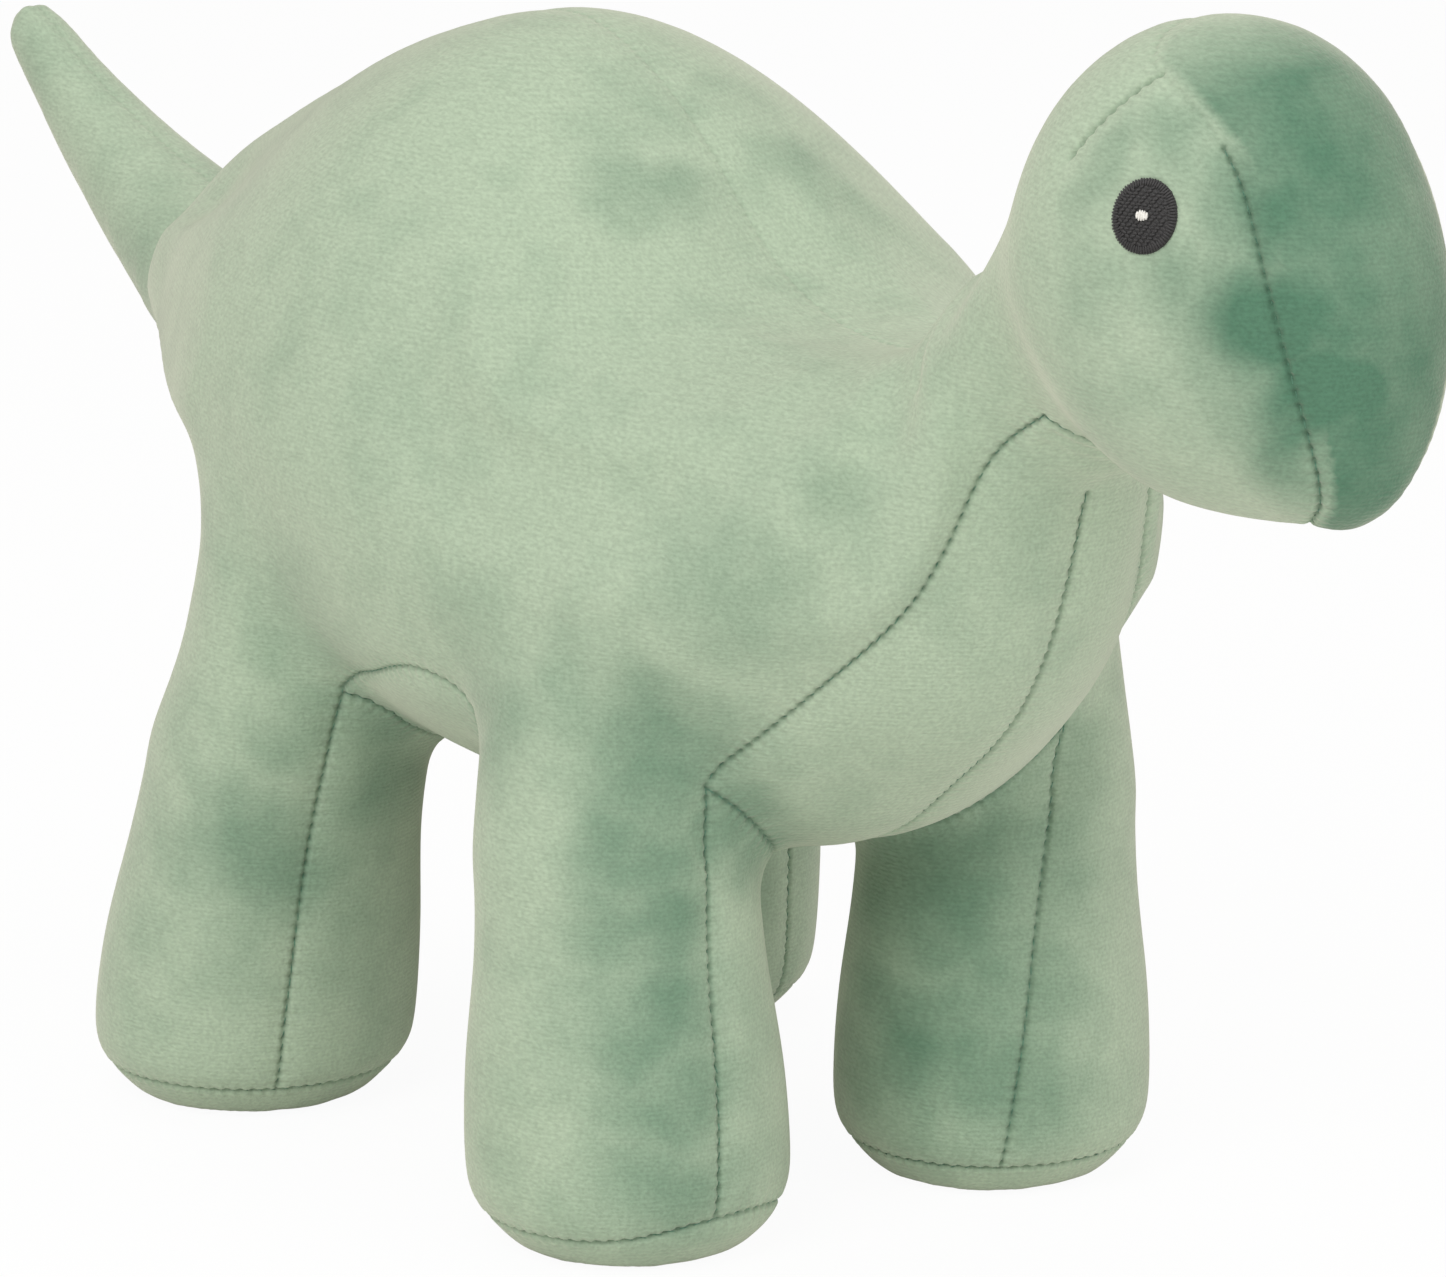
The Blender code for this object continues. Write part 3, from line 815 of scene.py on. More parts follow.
@dataclass
class Trunk(SoftPart):
    """The humped trunk between the tail's seat and the neck's, in millimetres."""

    legs: dict[str, Leg]
    head: "Head"
    tail: "Tail"
    body: str = "trunk"
    rear: float = 132.0
    front: float = 115.0
    width: float = 150.0
    belly_height: float = 73.0
    back_height: float = 223.5

    def __post_init__(self) -> None:
        """Name the CAD nodes that the trunk's skin stands for."""
        panels = [f"{panel}_{side}" for panel in ("side_panel", "belly_gusset") for side in LEFT_RIGHT]
        self.nodes = ["trunk_stuffing", *panels]

    def form(self) -> SoftForm:
        """Return the rump, hump, shoulders and chest."""
        neck, tail = joint_place("head_nod"), joint_place("tail_wag")
        height, length = self.back_height - self.belly_height, self.rear + self.front
        # Share of the length, height of the underside, widest line and back, share of the width, and ridge
        shape = [
            (0.00, 0.29, 0.50, 0.73, 0.41, 1.0),
            (0.09, 0.20, 0.46, 0.81, 0.55, 1.0),
            (0.19, 0.12, 0.43, 0.88, 0.72, 1.0),
            (0.33, 0.05, 0.42, 0.97, 0.91, 1.05),
            (0.475, 0.02, 0.42, 1.01, 0.99, 1.1),
            (0.615, 0.00, 0.42, 0.92, 1.00, 1.2),
            (0.755, -0.01, 0.43, 0.735, 0.93, 1.3),
            (0.90, 0.04, 0.46, 0.68, 0.76, 1.3),
            (1.00, 0.15, 0.50, 0.73, 0.57, 1.1),
        ]
        r = self.tail.radius
        sections = [Section(tail[0], tail[2], -self.tail.tilt, r, r, r)]
        for along, under, middle, over, width, ridge in shape:
            x, z = along * length - self.rear, self.belly_height + middle * height
            up, down = (over - middle) * height, (middle - under) * height
            sections.append(Section(x, z, 0.0, self.width / 2 * width, up, down, ridge))
        r, tilt = self.head.neck_radius, self.head.neck_tilt
        chest_x, chest_z = self.front * 0.4 + neck[0] * 0.6, neck[2] - 0.85 * r
        sections.append(Section(chest_x, chest_z, tilt * 0.53, 1.18 * r, 1.32 * r, 1.40 * r))
        sections.append(Section(neck[0], neck[2], tilt, r, r, r))
        return SoftForm(sections)

    def seams(self) -> list[Seam]:
        """Return the back and belly seams, and on each side the chest's, belly's and rump's edges."""
        form = self.form()
        lines = [
            Seam("back_seam", SeamKind.COVERED, form.along(90, 0.2, 11, 24)),
            Seam("belly_seam", SeamKind.PANEL, form.along(-90, 11, 0.2, 24)),
        ]
        # Station and bearing of each place on the left side, for an edge those between its corners
        edges = {
            "chest": [(11, -40), (10, -31), (9, -36)],
            "belly": [(6.6, -31), (6.1, -27), (5.4, -35)],
            "rump": [(2.6, -55), (1.3, -72), (0.3, -90)],
        }
        folds = {
            "nape": [(10.6, 20), (10.6, 45), (10.6, 70)],
            "tail": [(0.5, 45), (0.5, 10), (0.5, -25)],
        }
        for side in LEFT_RIGHT:
            ahead, behind = self.legs[f"front_{side}_leg"], self.legs[f"rear_{side}_leg"]
            flip = np.array((1, ahead.side, 1))
            corners = {
                "chest": ([self.head.throat_corner() * flip], [ahead.corner(ahead.seam_turn)]),
                "belly": ([ahead.corner(180.0)], [behind.corner(behind.seam_turn)]),
                "rump": ([behind.corner(180.0)], []),
            }
            for name, marks in edges.items():
                start, end = corners[name]
                places = [*start, *(place * flip for place in form.through(marks)), *end]
                lines.append(Seam(f"{name}_edge_{side}", SeamKind.PANEL, places))
            for name, marks in folds.items():
                places = [place * flip for place in form.through(marks)]
                lines.append(Seam(f"{name}_fold_{side}", SeamKind.FOLD, places))
        return lines

    def patches(self) -> list[NapAndShadePatch]:
        """Return the trunk's darker patches, the far side's like the near side's."""
        # Station, bearing, reach and strength
        marks = [
            (8.6, -8, 18, 0.34),
            (9.4, 8, 13, 0.22),
            (6.4, 72, 12, 0.34),
            (6.0, 78, 10, 0.2),
            (2.6, 0, 16, 0.35),
            # Painted shade under the belly
            (7.0, -30, 18, 0.4),
            (7.6, -52, 14, 0.45),
            (5.0, -28, 16, 0.25),
            (4.3, -10, 14, 0.2),
        ]
        form = self.form()
        made = []
        for side in (1, -1):
            for station, bearing, reach, strength in marks:
                made.append(NapAndShadePatch(form.at(station, bearing) * (1, side, 1), reach, strength))
        return made


@dataclass
class Head(SoftPart):
    """The egg-shaped head on a short neck, with its face panel, in millimetres and degrees.

    The crown, chin and throat are stations of its form, and the throat's side a station and bearing.
    """

    body: str = "head"
    length: float = 104.0
    width: float = 74.0
    height: float = 86.0
    rise: float = 32.0
    neck_tilt: float = 38.0
    neck_radius: float = 25.0
    waist_reach: float = 7.0
    root_depth: float = 12.0
    crown: float = 3.6
    chin: float = 5.0
    throat: float = 1.75
    throat_side: tuple[float, float] = (1.6, -42.0)
    cut_back: float = 8.0
    bend_length: float = 30.0

    def __post_init__(self) -> None:
        """Name the CAD nodes that the head's skin stands for."""
        self.nodes = ["head_stuffing", "cheek_panel_left", "cheek_panel_right", "face_gusset"]

    def axis(self) -> np.ndarray:
        """Return the direction in which the neck leaves the trunk."""
        angle = math.radians(self.neck_tilt)
        return np.array((math.cos(angle), 0.0, math.sin(angle)))

    def form(self) -> SoftForm:
        """Return the neck's waist, the cheeks, the brow and the front of the face."""
        neck, r = joint_place("head_nod"), self.neck_radius
        waist = neck + self.axis() * self.waist_reach
        root = neck - self.axis() * self.root_depth
        sections = [
            Section(root[0], root[2], self.neck_tilt, 0.9 * r, 0.9 * r, 0.9 * r),
            Section(waist[0], waist[2], self.neck_tilt, 0.92 * r, 0.92 * r, 0.98 * r),
        ]
        # Share of the length, rise of the middle, tilt, and shares of the width and half height
        shape = [
            (0.20, -12.0, 26.0, 0.68, 0.54, 0.72),
            (0.38, -3.0, 13.0, 0.91, 0.91, 1.02),
            (0.57, 0.0, 5.0, 0.94, 1.00, 1.09),
            (0.76, -3.0, 0.0, 0.76, 0.94, 0.99),
            (0.89, -7.0, 0.0, 0.58, 0.71, 0.86),
            (0.97, -8.0, 0.0, 0.37, 0.41, 0.63),
            (1.00, -8.0, 0.0, 0.14, 0.15, 0.20),
        ]
        for along, rise, tilt, width, up, down in shape:
            x, z, tall = neck[0] + along * self.length, neck[2] + self.rise + rise, self.height / 2
            sections.append(Section(x, z, tilt, self.width / 2 * width, tall * up, tall * down))
        return SoftForm(sections)

    def throat_corner(self) -> np.ndarray:
        """Return where the throat's seam meets the left edge of the chest."""
        return self.form().at(*self.throat_side)

    def seams(self) -> list[Seam]:
        """Return the nape, the face panel's edges, the chin, the throat with its folds, and the darts."""
        form = self.form()
        temple = (5.0, 43)
        # Station and bearing of each place on the left half
        brow = [(self.crown, 90), (3.75, 72), (4.0, 58), (4.5, 50), temple]
        cheek = [temple, (5.4, 36), (6.0, 15), (6.5, -35), (6.2, -60), (5.7, -72), (self.chin, -90)]
        pairs = {
            ("brow_seam", SeamKind.COVERED): brow,
            ("face_seam", SeamKind.PANEL): cheek,
            ("throat_seam", SeamKind.PANEL): [self.throat_side, (1.7, -65), (self.throat, -90)],
            ("crown_dart", SeamKind.DART): [(4.15, 55), (3.9, 42), (3.6, 28)],
            ("throat_fold_high", SeamKind.FOLD): [(1.45, -50), (1.5, -70), (1.5, -88)],
            ("throat_fold_low", SeamKind.FOLD): [(1.25, -52), (1.28, -72), (1.25, -88)],
        }
        lines = [
            Seam("nape_seam", SeamKind.COVERED, form.along(90, 1.0, self.crown, 10)),
            Seam("chin_seam", SeamKind.PANEL, form.along(-90, self.chin, self.throat, 10)),
        ]
        for (name, kind), marks in pairs.items():
            left = Seam(name, kind, form.through(marks))
            lines += [left, left.mirrored()]
        return lines

    def face_panel(self) -> TurnedPanel:
        """Return the face panel, whose pile lies downwards."""
        return TurnedPanel(("brow_seam", "face_seam"), self.form().at(self.crown, 90), 0.85)

    def patches(self) -> list[NapAndShadePatch]:
        """Return the brushed patches of the face panel and round the eyes."""
        # Station, bearing, side (1 is left), reach and strength
        marks = [
            (5.8, 46, -1, 14, 0.95),
            (6.5, 15, -1, 16, 1.1),
            (7.0, -20, -1, 16, 1.1),
            (4.7, 36, -1, 11, 0.5),
            (4.1, 26, -1, 9, 0.4),
            (5.0, 3, -1, 11, 0.45),
            (3.9, -6, -1, 9, 0.25),
            (4.1, 26, 1, 9, 0.4),
            (5.0, 3, 1, 11, 0.4),
        ]
        form = self.form()
        made = []
        for station, bearing, side, reach, strength in marks:
            made.append(NapAndShadePatch(form.at(station, bearing) * (1, side, 1), reach, strength))
        return made

    def bend(self) -> tuple[np.ndarray, np.ndarray]:
        """Return the stretch along the neck where the head takes over from the trunk."""
        start = joint_place("head_nod") - self.axis() * self.cut_back
        return start * MM, (start + self.axis() * self.bend_length) * MM


@dataclass
class Tail(SoftPart):
    """The tapering tail that curls up to a round tip, in millimetres and degrees."""

    body: str = "tail"
    tilt: float = 20.0
    curl: float = 17.0
    radius: float = 20.5
    tip_radius: float = 6.6
    taper: float = 0.84
    length: float = 105.0
    root_depth: float = 14.0
    cut_back: float = 4.0
    bend_length: float = 30.0
    steps: int = 6

    def __post_init__(self) -> None:
        """Name the CAD nodes that the tail's skin stands for."""
        self.nodes = ["tail_stuffing", "tail_panel_left", "tail_panel_right"]

    def axis(self, share: float = 0.0) -> np.ndarray:
        """Return the tail's direction at a share of its length."""
        angle = math.radians(self.tilt + self.curl * share)
        return np.array((-math.cos(angle), 0.0, math.sin(angle)))

    def form(self) -> SoftForm:
        """Return the tail, from inside the rump to its tip."""
        step = (self.length - self.tip_radius) / self.steps
        middle = joint_place("tail_wag")
        root = middle - self.axis() * self.root_depth
        r = self.radius
        sections = [Section(root[0], root[2], 180.0 - self.tilt, r, r, r)]
        for k in range(self.steps + 1):
            share = k / self.steps
            r = self.radius + (self.tip_radius - self.radius) * share**self.taper
            tilt = 180.0 - self.tilt - self.curl * share
            sections.append(Section(middle[0], middle[2], tilt, r, r, r))
            middle = middle + self.axis(share) * step
        tip = middle - self.axis(1.0) * (step - 0.8 * self.tip_radius)
        r = 0.55 * self.tip_radius
        sections.append(Section(tip[0], tip[2], 180.0 - self.tilt - self.curl, r, r, r))
        return SoftForm(sections)

    def seams(self) -> list[Seam]:
        """Return the seams along the tail's top and underside."""
        form = self.form()
        last = self.steps + 2
        # The sections lie past upright, so their tops face down
        lines = {"tail_top_seam": -90.0, "tail_under_seam": 90.0}
        return [Seam(name, SeamKind.COVERED, form.along(b, 0.9, last, 12)) for name, b in lines.items()]

    def patches(self) -> list[NapAndShadePatch]:
        """Return the brushed patches beside the tail's root."""
        form = self.form()
        return [NapAndShadePatch(form.at(1.6, bearing), 16, 0.3) for bearing in (0.0, 180.0)]

    def bend(self) -> tuple[np.ndarray, np.ndarray]:
        """Return the stretch along the tail where it takes over from the trunk."""
        start = joint_place("tail_wag") - self.axis() * self.cut_back
        return start * MM, (start + self.axis() * self.bend_length) * MM


def all_parts() -> list[SoftPart]:
    """Return the toy's soft parts, the legs with their darker patches and seams twisted as on the toy."""
    front = {"foot": (64.5, 43.0), "thigh": (62.0, 46.0), "radius": 27.6}
    rear = {"foot": (-65.0, 50.5), "thigh": (-38.5, 49.0), "radius": 28.9}
    # Height, turn, reach and strength of each brushed patch
    shoulder = [
        (103, 16, 19, 0.62),
        (112, 36, 16, 0.35),
        (86, 16, 13, 0.65),
        (90, -20, 11, 0.6),
        (78, -45, 11, 0.5),
        (68, 19, 14, 0.65),
        (52, 19, 14, 0.7),
        (36, 19, 14, 0.55),
        (19, 19, 14, 0.65),
    ]
    # The far front leg's inner side: pile that lies the other way, and painted shade where the body and the
    # near leg shade it
    inner = [
        (60, -53, 24, 0.75),
        (36, -66, 22, 0.75),
        (26, -27, 16, 0.65),
        (68, -23, 18, 0.55),
        (85, -50, 18, 0.55),
        (46, -34, 18, 0.6),
    ]
    haunch = [
        (58, 34, 18, 0.5),
        (72, -8, 16, 0.5),
        (85, 22, 14, 0.35),
        (88, 0, 12, 0.5),
        (45, 5, 12, 0.3),
    ]
    legs = [
        Leg("front_right_leg", -1, **front, seam_turn=-10, seam_twist=10, marks=shoulder, sole_lift=4.5),
        Leg("front_left_leg", 1, **front, seam_turn=-8, seam_twist=-24, marks=inner),
        Leg("rear_right_leg", -1, **rear, seam_turn=17, seam_twist=5, marks=haunch),
        Leg("rear_left_leg", 1, **rear, seam_turn=17, seam_twist=5, marks=haunch),
    ]
    head, tail = Head(), Tail()
    return [Trunk({leg.body: leg for leg in legs}, head, tail), head, tail, *legs]


# The skin


@dataclass
class PlushSkin:
    """The toy's cloth: one skin over the parts' forms, filled, seamed, darkened in patches and cut at the
    limbs.
    """

    parts: list[SoftPart]
    finish: Plush = SAGE_PLUSH
    voxel: float = 3.0 * MM
    crease_depth: float = 0.10 * MM
    crease_spread: int = 6
    slack: float = 0.3 * MM
    swell: float = 2.3 * MM
    swell_cap: float = 3.2 * MM
    swell_reach: float = 9.0 * MM
    held_reach: float = 2.0 * MM
    held_fade: float = 4.0 * MM
    open_percent: float = 85.0
    floor_share: float = 0.9
    frames: int = 20
    pressure: float = 12.0
    ease_rounds: int = 10
    seam_bands: tuple[float, ...] = (4.0 * MM, 1.7 * MM)
    wavers: tuple[tuple[float, float], ...] = ((22 * MM, 7 * MM), (8 * MM, 3 * MM))
    waver_seed: int = 1795610234
    patch_power: float = 2.4
    turned: TurnedPanel | None = None
    seams: list[Seam] = field(default_factory=list)
    lines: dict[str, np.ndarray] = field(default_factory=dict)

    def join_forms(self) -> bpy.types.Object:
        """Join the forms into one closed, even mesh."""
        bm = bmesh.new()
        for part in self.parts:
            part.form().add_to(bm)
        bmesh.ops.recalc_face_normals(bm, faces=bm.faces)
        obj = add_object("whole_skin", mesh_of(bm, "whole_skin"))
        remesh = obj.modifiers.new("Even", "REMESH")
        remesh.mode = "VOXEL"
        remesh.voxel_size = self.voxel
        self.keep_outside(applied(obj))
        return obj

    def keep_outside(self, mesh: bpy.types.Mesh) -> None:
        """Drop any pocket that the joined forms left inside the skin."""
        bm = bmesh.new()
        bm.from_mesh(mesh)
        seen: set[bmesh.types.BMVert] = set()
        shells: list[list[bmesh.types.BMVert]] = []
        for vert in bm.verts:
            if vert in seen:
                continue
            seen.add(vert)
            shell, todo = [], [vert]
            while todo:
                one = todo.pop()
                shell.append(one)
                others = [edge.other_vert(one) for edge in one.link_edges]
                fresh = [vert for vert in others if vert not in seen]
                seen.update(fresh)
                todo += fresh
            shells.append(shell)
        shells.sort(key=len)
        bmesh.ops.delete(bm, geom=[vert for shell in shells[:-1] for vert in shell], context="VERTS")
        bm.to_mesh(mesh)
        bm.free()

    def soften(self, mesh: bpy.types.Mesh, rounds: int, crease_rounds: int) -> None:
        """Round off the steps of the remesh and the creases where limbs join.

        Args:
            mesh: The skin.
            rounds: Even smoothing that keeps the volume.
            crease_rounds: Further smoothing where the skin is hollow.
        """
        ends = edge_ends(mesh)
        points = evened(positions(mesh), ends, rounds, back=0.52)
        set_positions(mesh, points)
        hollow = ((neighbour_mean(points, ends) - points) * point_normals(mesh)).sum(axis=1)
        weight = np.clip(hollow / self.crease_depth, 0, 1)[:, None]
        for _ in range(self.crease_spread):
            weight = np.maximum(weight, 0.9 * neighbour_mean(weight, ends))
        for _ in range(crease_rounds):
            points = points + EASE * weight * (neighbour_mean(points, ends) - points)
        set_positions(mesh, points)

    def seam_distance(self, mesh: bpy.types.Mesh, kinds: Iterable[SeamKind]) -> tuple[np.ndarray, np.ndarray]:
        """Lay the lines of some kinds on the skin and measure how far its points lie from them.

        Args:
            mesh: The skin.
            kinds: The kinds of line that count.

        Returns:
            The distance, and how far along the line the nearest place is.
        """
        surface, chosen = surface_of(mesh), set(kinds)
        runs, along = [], []
        for seam in self.seams:
            if seam.kind not in chosen:
                continue
            run = seam.traced(surface)
            self.lines[seam.name] = run
            runs.append(run)
            along.append(run_length(run))
        places, gone = np.concatenate(runs), np.concatenate(along)
        tree = tree_of(places)
        found = [tree.find(point) for point in positions(mesh)]
        return np.array([f[2] for f in found]), gone[[f[1] for f in found]]

    def fill(self, obj: bpy.types.Object) -> None:
        """Swell the cloth between its seams, as stuffing does, by a cloth simulation under pressure."""
        mesh = obj.data
        reach, _ = self.seam_distance(mesh, [SeamKind.PANEL, SeamKind.COVERED])
        start = positions(mesh) - point_normals(mesh) * self.slack
        set_positions(mesh, start)
        held = np.clip(1.0 - (reach - self.held_reach) / self.held_fade, 0, 1)
        moved = self.blown(obj, held) - start
        length = np.linalg.norm(moved, axis=1) / MM
        LOG.info("the cloth moved %.2f mm at most and %.2f mm on average", length.max(), length.mean())
        ends = edge_ends(mesh)
        for _ in range(self.ease_rounds):
            moved = neighbour_mean(moved, ends)
        # Filled until the open cloth stands out as far as it is meant to
        moved *= self.swell / np.percentile(np.linalg.norm(moved, axis=1), self.open_percent)
        # The floor holds the soles up
        moved[:, 2] = np.maximum(moved[:, 2], -self.floor_share * start[:, 2])
        length = np.linalg.norm(moved, axis=1)
        share = np.minimum(1.0, self.swell_cap / np.maximum(length, 1e-9))[:, None]
        set_positions(mesh, start + moved * share)

    def blown(self, obj: bpy.types.Object, held: np.ndarray) -> np.ndarray:
        """Blow the skin up as cloth that its seams hold.

        Args:
            obj: The skin, which keeps its shape.
            held: How firmly each of its points is held, from 0 to 1.

        Returns:
            Where the points end up.
        """
        group = obj.vertex_groups.new(name="sewn")
        for index in np.nonzero(held > 0)[0]:
            group.add([int(index)], float(held[index]), "REPLACE")
        cloth = obj.modifiers.new("Fill", "CLOTH")
        settings = cloth.settings
        settings.quality = 5
        settings.mass = 0.3
        settings.tension_stiffness = 15
        settings.compression_stiffness = 15
        settings.shear_stiffness = 5
        settings.bending_stiffness = 2.0
        settings.use_pressure = True
        settings.uniform_pressure_force = self.pressure
        settings.vertex_group_mass = group.name
        settings.effector_weights.gravity = 0.0
        cloth.point_cache.frame_start = 1
        cloth.point_cache.frame_end = self.frames
        scene = bpy.context.scene
        for number in range(1, self.frames + 1):
            scene.frame_set(number)
        shown = obj.evaluated_get(bpy.context.evaluated_depsgraph_get())
        points = positions(shown.to_mesh())
        shown.to_mesh_clear()
        obj.modifiers.clear()
        obj.vertex_groups.clear()
        scene.frame_set(1)
        return points

    def refine(self, obj: bpy.types.Object) -> bpy.types.Mesh:
        """Subdivide the skin once, and twice more along its seams."""
        rounder = obj.modifiers.new("Round", "SUBSURF")
        rounder.levels = 1
        rounder.render_levels = 1
        mesh = applied(obj)
        for band in self.seam_bands:
            reach, _ = self.seam_distance(mesh, [SeamKind.PANEL, SeamKind.COVERED, SeamKind.DART])
            bm = bmesh.new()
            bm.from_mesh(mesh)
            bm.verts.ensure_lookup_table()
            near = [bm.verts[int(k)] for k in np.nonzero(reach < band)[0]]
            edges = {edge.index: edge for vert in near for face in vert.link_faces for edge in face.edges}
            bmesh.ops.subdivide_edges(bm, edges=list(edges.values()), cuts=1, use_grid_fill=True)
            bm.to_mesh(mesh)
            bm.free()
        set_positions(mesh, evened(positions(mesh), edge_ends(mesh), 2, back=EASE))
        return mesh

    def sew(self, mesh: bpy.types.Mesh) -> None:
        """Draw every line into the skin: the groove, the cloth's roll towards it and the puckers, and the
        shade painted beside it.
        """
        normals = point_normals(mesh)
        depth = np.zeros(len(mesh.vertices))
        groove_shade_share = np.zeros(len(mesh.vertices))
        for kind, shape in SEAM_SECTIONS.items():
            reach, along = self.seam_distance(mesh, [kind])
            reach = reach / MM
            wave = np.cos(2 * math.pi * along / STITCH_PITCH)
            depth = np.maximum(depth, shape.depth(reach, wave) * MM)
            groove_shade_share = np.maximum(groove_shade_share, shape.shade(reach, wave))
        flat = surface_of(mesh)
        points = positions(mesh) - normals * depth[:, None]
        points[:, 2] = np.maximum(points[:, 2], 0.0)
        set_positions(mesh, points)
        # The seam attribute holds the painted shade beside each line
        set_attribute(mesh, "seam", groove_shade_share)
        self.sink_lines(flat, surface_of(mesh))

    def sink_lines(self, flat: BVHTree, sewn: BVHTree) -> None:
        """Let every line down from the flat cloth to the bottom of its groove.

        Args:
            flat: The cloth before it was sewn.
            sewn: The cloth with its grooves.
        """
        lift, drop = 1.0 * MM, 5.0 * MM
        for line in self.lines.values():
            for k, place in enumerate(line):
                _, normal, _, _ = flat.find_nearest(Vector(place))
                hit, _, _, _ = sewn.ray_cast(Vector(place) + normal * lift, -normal, drop)
                if hit is not None:
                    line[k] = hit

    def paint_nap_and_shade(self, mesh: bpy.types.Mesh) -> None:
        """Store how dark the pile is at each point: where it lies the other way, and where shade is painted.
        """
        points = positions(mesh)
        nap_and_shade = self.turned_share(points, self.turned) if self.turned else np.zeros(len(points))
        # Two sizes of waver make the patches' edges ragged, the same way each run
        seed_set(self.waver_seed)
        for size, reach in self.wavers:
            points = points + reach * np.array([noise_vector(point / size) for point in points])
        # The patches add both turned pile and painted shade
        for patch in (patch for part in self.parts for patch in part.patches()):
            gap = np.linalg.norm(points - patch.middle * MM, axis=1) / (patch.reach * MM)
            nap_and_shade = np.maximum(nap_and_shade, patch.strength * np.exp(-(gap**self.patch_power)))
        set_attribute(mesh, "nap_and_shade", nap_and_shade)

    def turned_share(self, points: np.ndarray, panel: TurnedPanel) -> np.ndarray:
        """Return how strongly a turned panel shows at some places on the skin.

        Args:
            points: Places on the skin.
            panel: The panel.

        Returns:
            Its strength at each of them.
        """
        edge = np.abs(np.concatenate([self.lines[name] for name in panel.edges]))
        tree = tree_of(edge)
        share = np.zeros(len(points))
        for k in np.nonzero(points[:, 0] > edge[:, 0].min())[0]:
            here = np.abs(points[k])
            place, _, _ = tree.find(here)
            inside = min(max((place.y - here[1]) / (panel.edge_width * MM), 0.0), 1.0)
            ahead = np.linalg.norm(points[k] - panel.start * MM) / (panel.fade * MM)
            share[k] = panel.strength * inside * min(max(ahead - panel.lead, 0.0), 1.0)
        return share

    def build(self) -> bpy.types.Object:
        """Make the whole skin, before it is cut at the limbs."""
        self.seams = [seam for part in self.parts for seam in part.seams()]
        obj = self.join_forms()
        self.soften(obj.data, rounds=12, crease_rounds=30)
        self.fill(obj)
        mesh = self.refine(obj)
        self.sew(mesh)
        self.paint_nap_and_shade(mesh)
        set_attribute(mesh, "whole_normal", point_normals(mesh))
        return obj

    def owners(self, places: np.ndarray) -> np.ndarray:
        """Return the body that each place on the skin belongs to."""
        owner = np.full(len(places), "trunk", dtype=object)
        for part in self.parts:
            bend = part.bend()
            if bend is None:
                continue
            here = (places - bend[0]) @ (bend[1] - bend[0]) > 0
            if isinstance(part, Leg):
                here &= (places[:, 0] > 0) == (bend[0][0] > 0)
                here &= (places[:, 1] > 0) == (bend[0][1] > 0)
            owner[here] = part.body
        return owner

    def cut(self, obj: bpy.types.Object) -> dict[str, bpy.types.Object]:
        """Cut the skin at the limbs into one closed piece per body.

        Args:
            obj: The whole skin, which is used up.

        Returns:
            The pieces by body.
        """
        bm = bmesh.new()
        bm.from_mesh(obj.data)
        bends = {part.body: part.bend() for part in self.parts if part.bend() is not None}
        # One level plane cuts all four legs
        planes = [bends["head"], bends["tail"], bends["front_left_leg"]]
        for start, end in planes:
            shape = bm.verts[:] + bm.edges[:] + bm.faces[:]
            bmesh.ops.bisect_plane(bm, geom=shape, dist=1e-7, plane_co=start, plane_no=end - start)
        owner = self.owners(np.array([face.calc_center_median() for face in bm.faces]))
        whole = mesh_of(bm, "cut_skin")
        material = self.finish.material()
        pieces = {part.body: self.piece(part, whole, owner != part.body, material) for part in self.parts}
        bpy.data.objects.remove(obj)
        return pieces

    def piece(
        self, part: SoftPart, whole: bpy.types.Mesh, others: np.ndarray, material: bpy.types.Material
    ) -> bpy.types.Object:
        """Make one body's piece: its share of the skin, closed at the cuts, shaded as part of the whole.

        Args:
            part: The soft part.
            whole: The skin with its cuts.
            others: Which faces belong to other bodies.
            material: The plush.

        Returns:
            The piece.
        """
        bm = bmesh.new()
        bm.from_mesh(whole)
        bm.faces.ensure_lookup_table()
        bmesh.ops.delete(bm, geom=[bm.faces[int(k)] for k in np.nonzero(others)[0]], context="FACES")
        middle = sum((vert.co for vert in bm.verts), Vector()) / len(bm.verts)
        rim = [edge for edge in bm.edges if edge.is_boundary]
        for cap in bmesh.ops.holes_fill(bm, edges=rim, sides=0)["faces"]:
            cap.normal_update()
            if cap.normal.dot(cap.calc_center_median() - middle) < 0:
                cap.normal_flip()
            bmesh.ops.triangulate(bm, faces=[cap])
        mesh = mesh_of(bm, f"{part.body}_plush")
        layer = mesh.attributes["whole_normal"]
        normals = rows_of(layer.data, "vector")
        mesh.attributes.remove(layer)
        shade_smooth(mesh)
        mesh.normals_split_custom_set_from_vertices(normals)
        mesh.materials.append(material)
        return add_object(f"{part.body}_plush", mesh)


# Stitches and embroidery


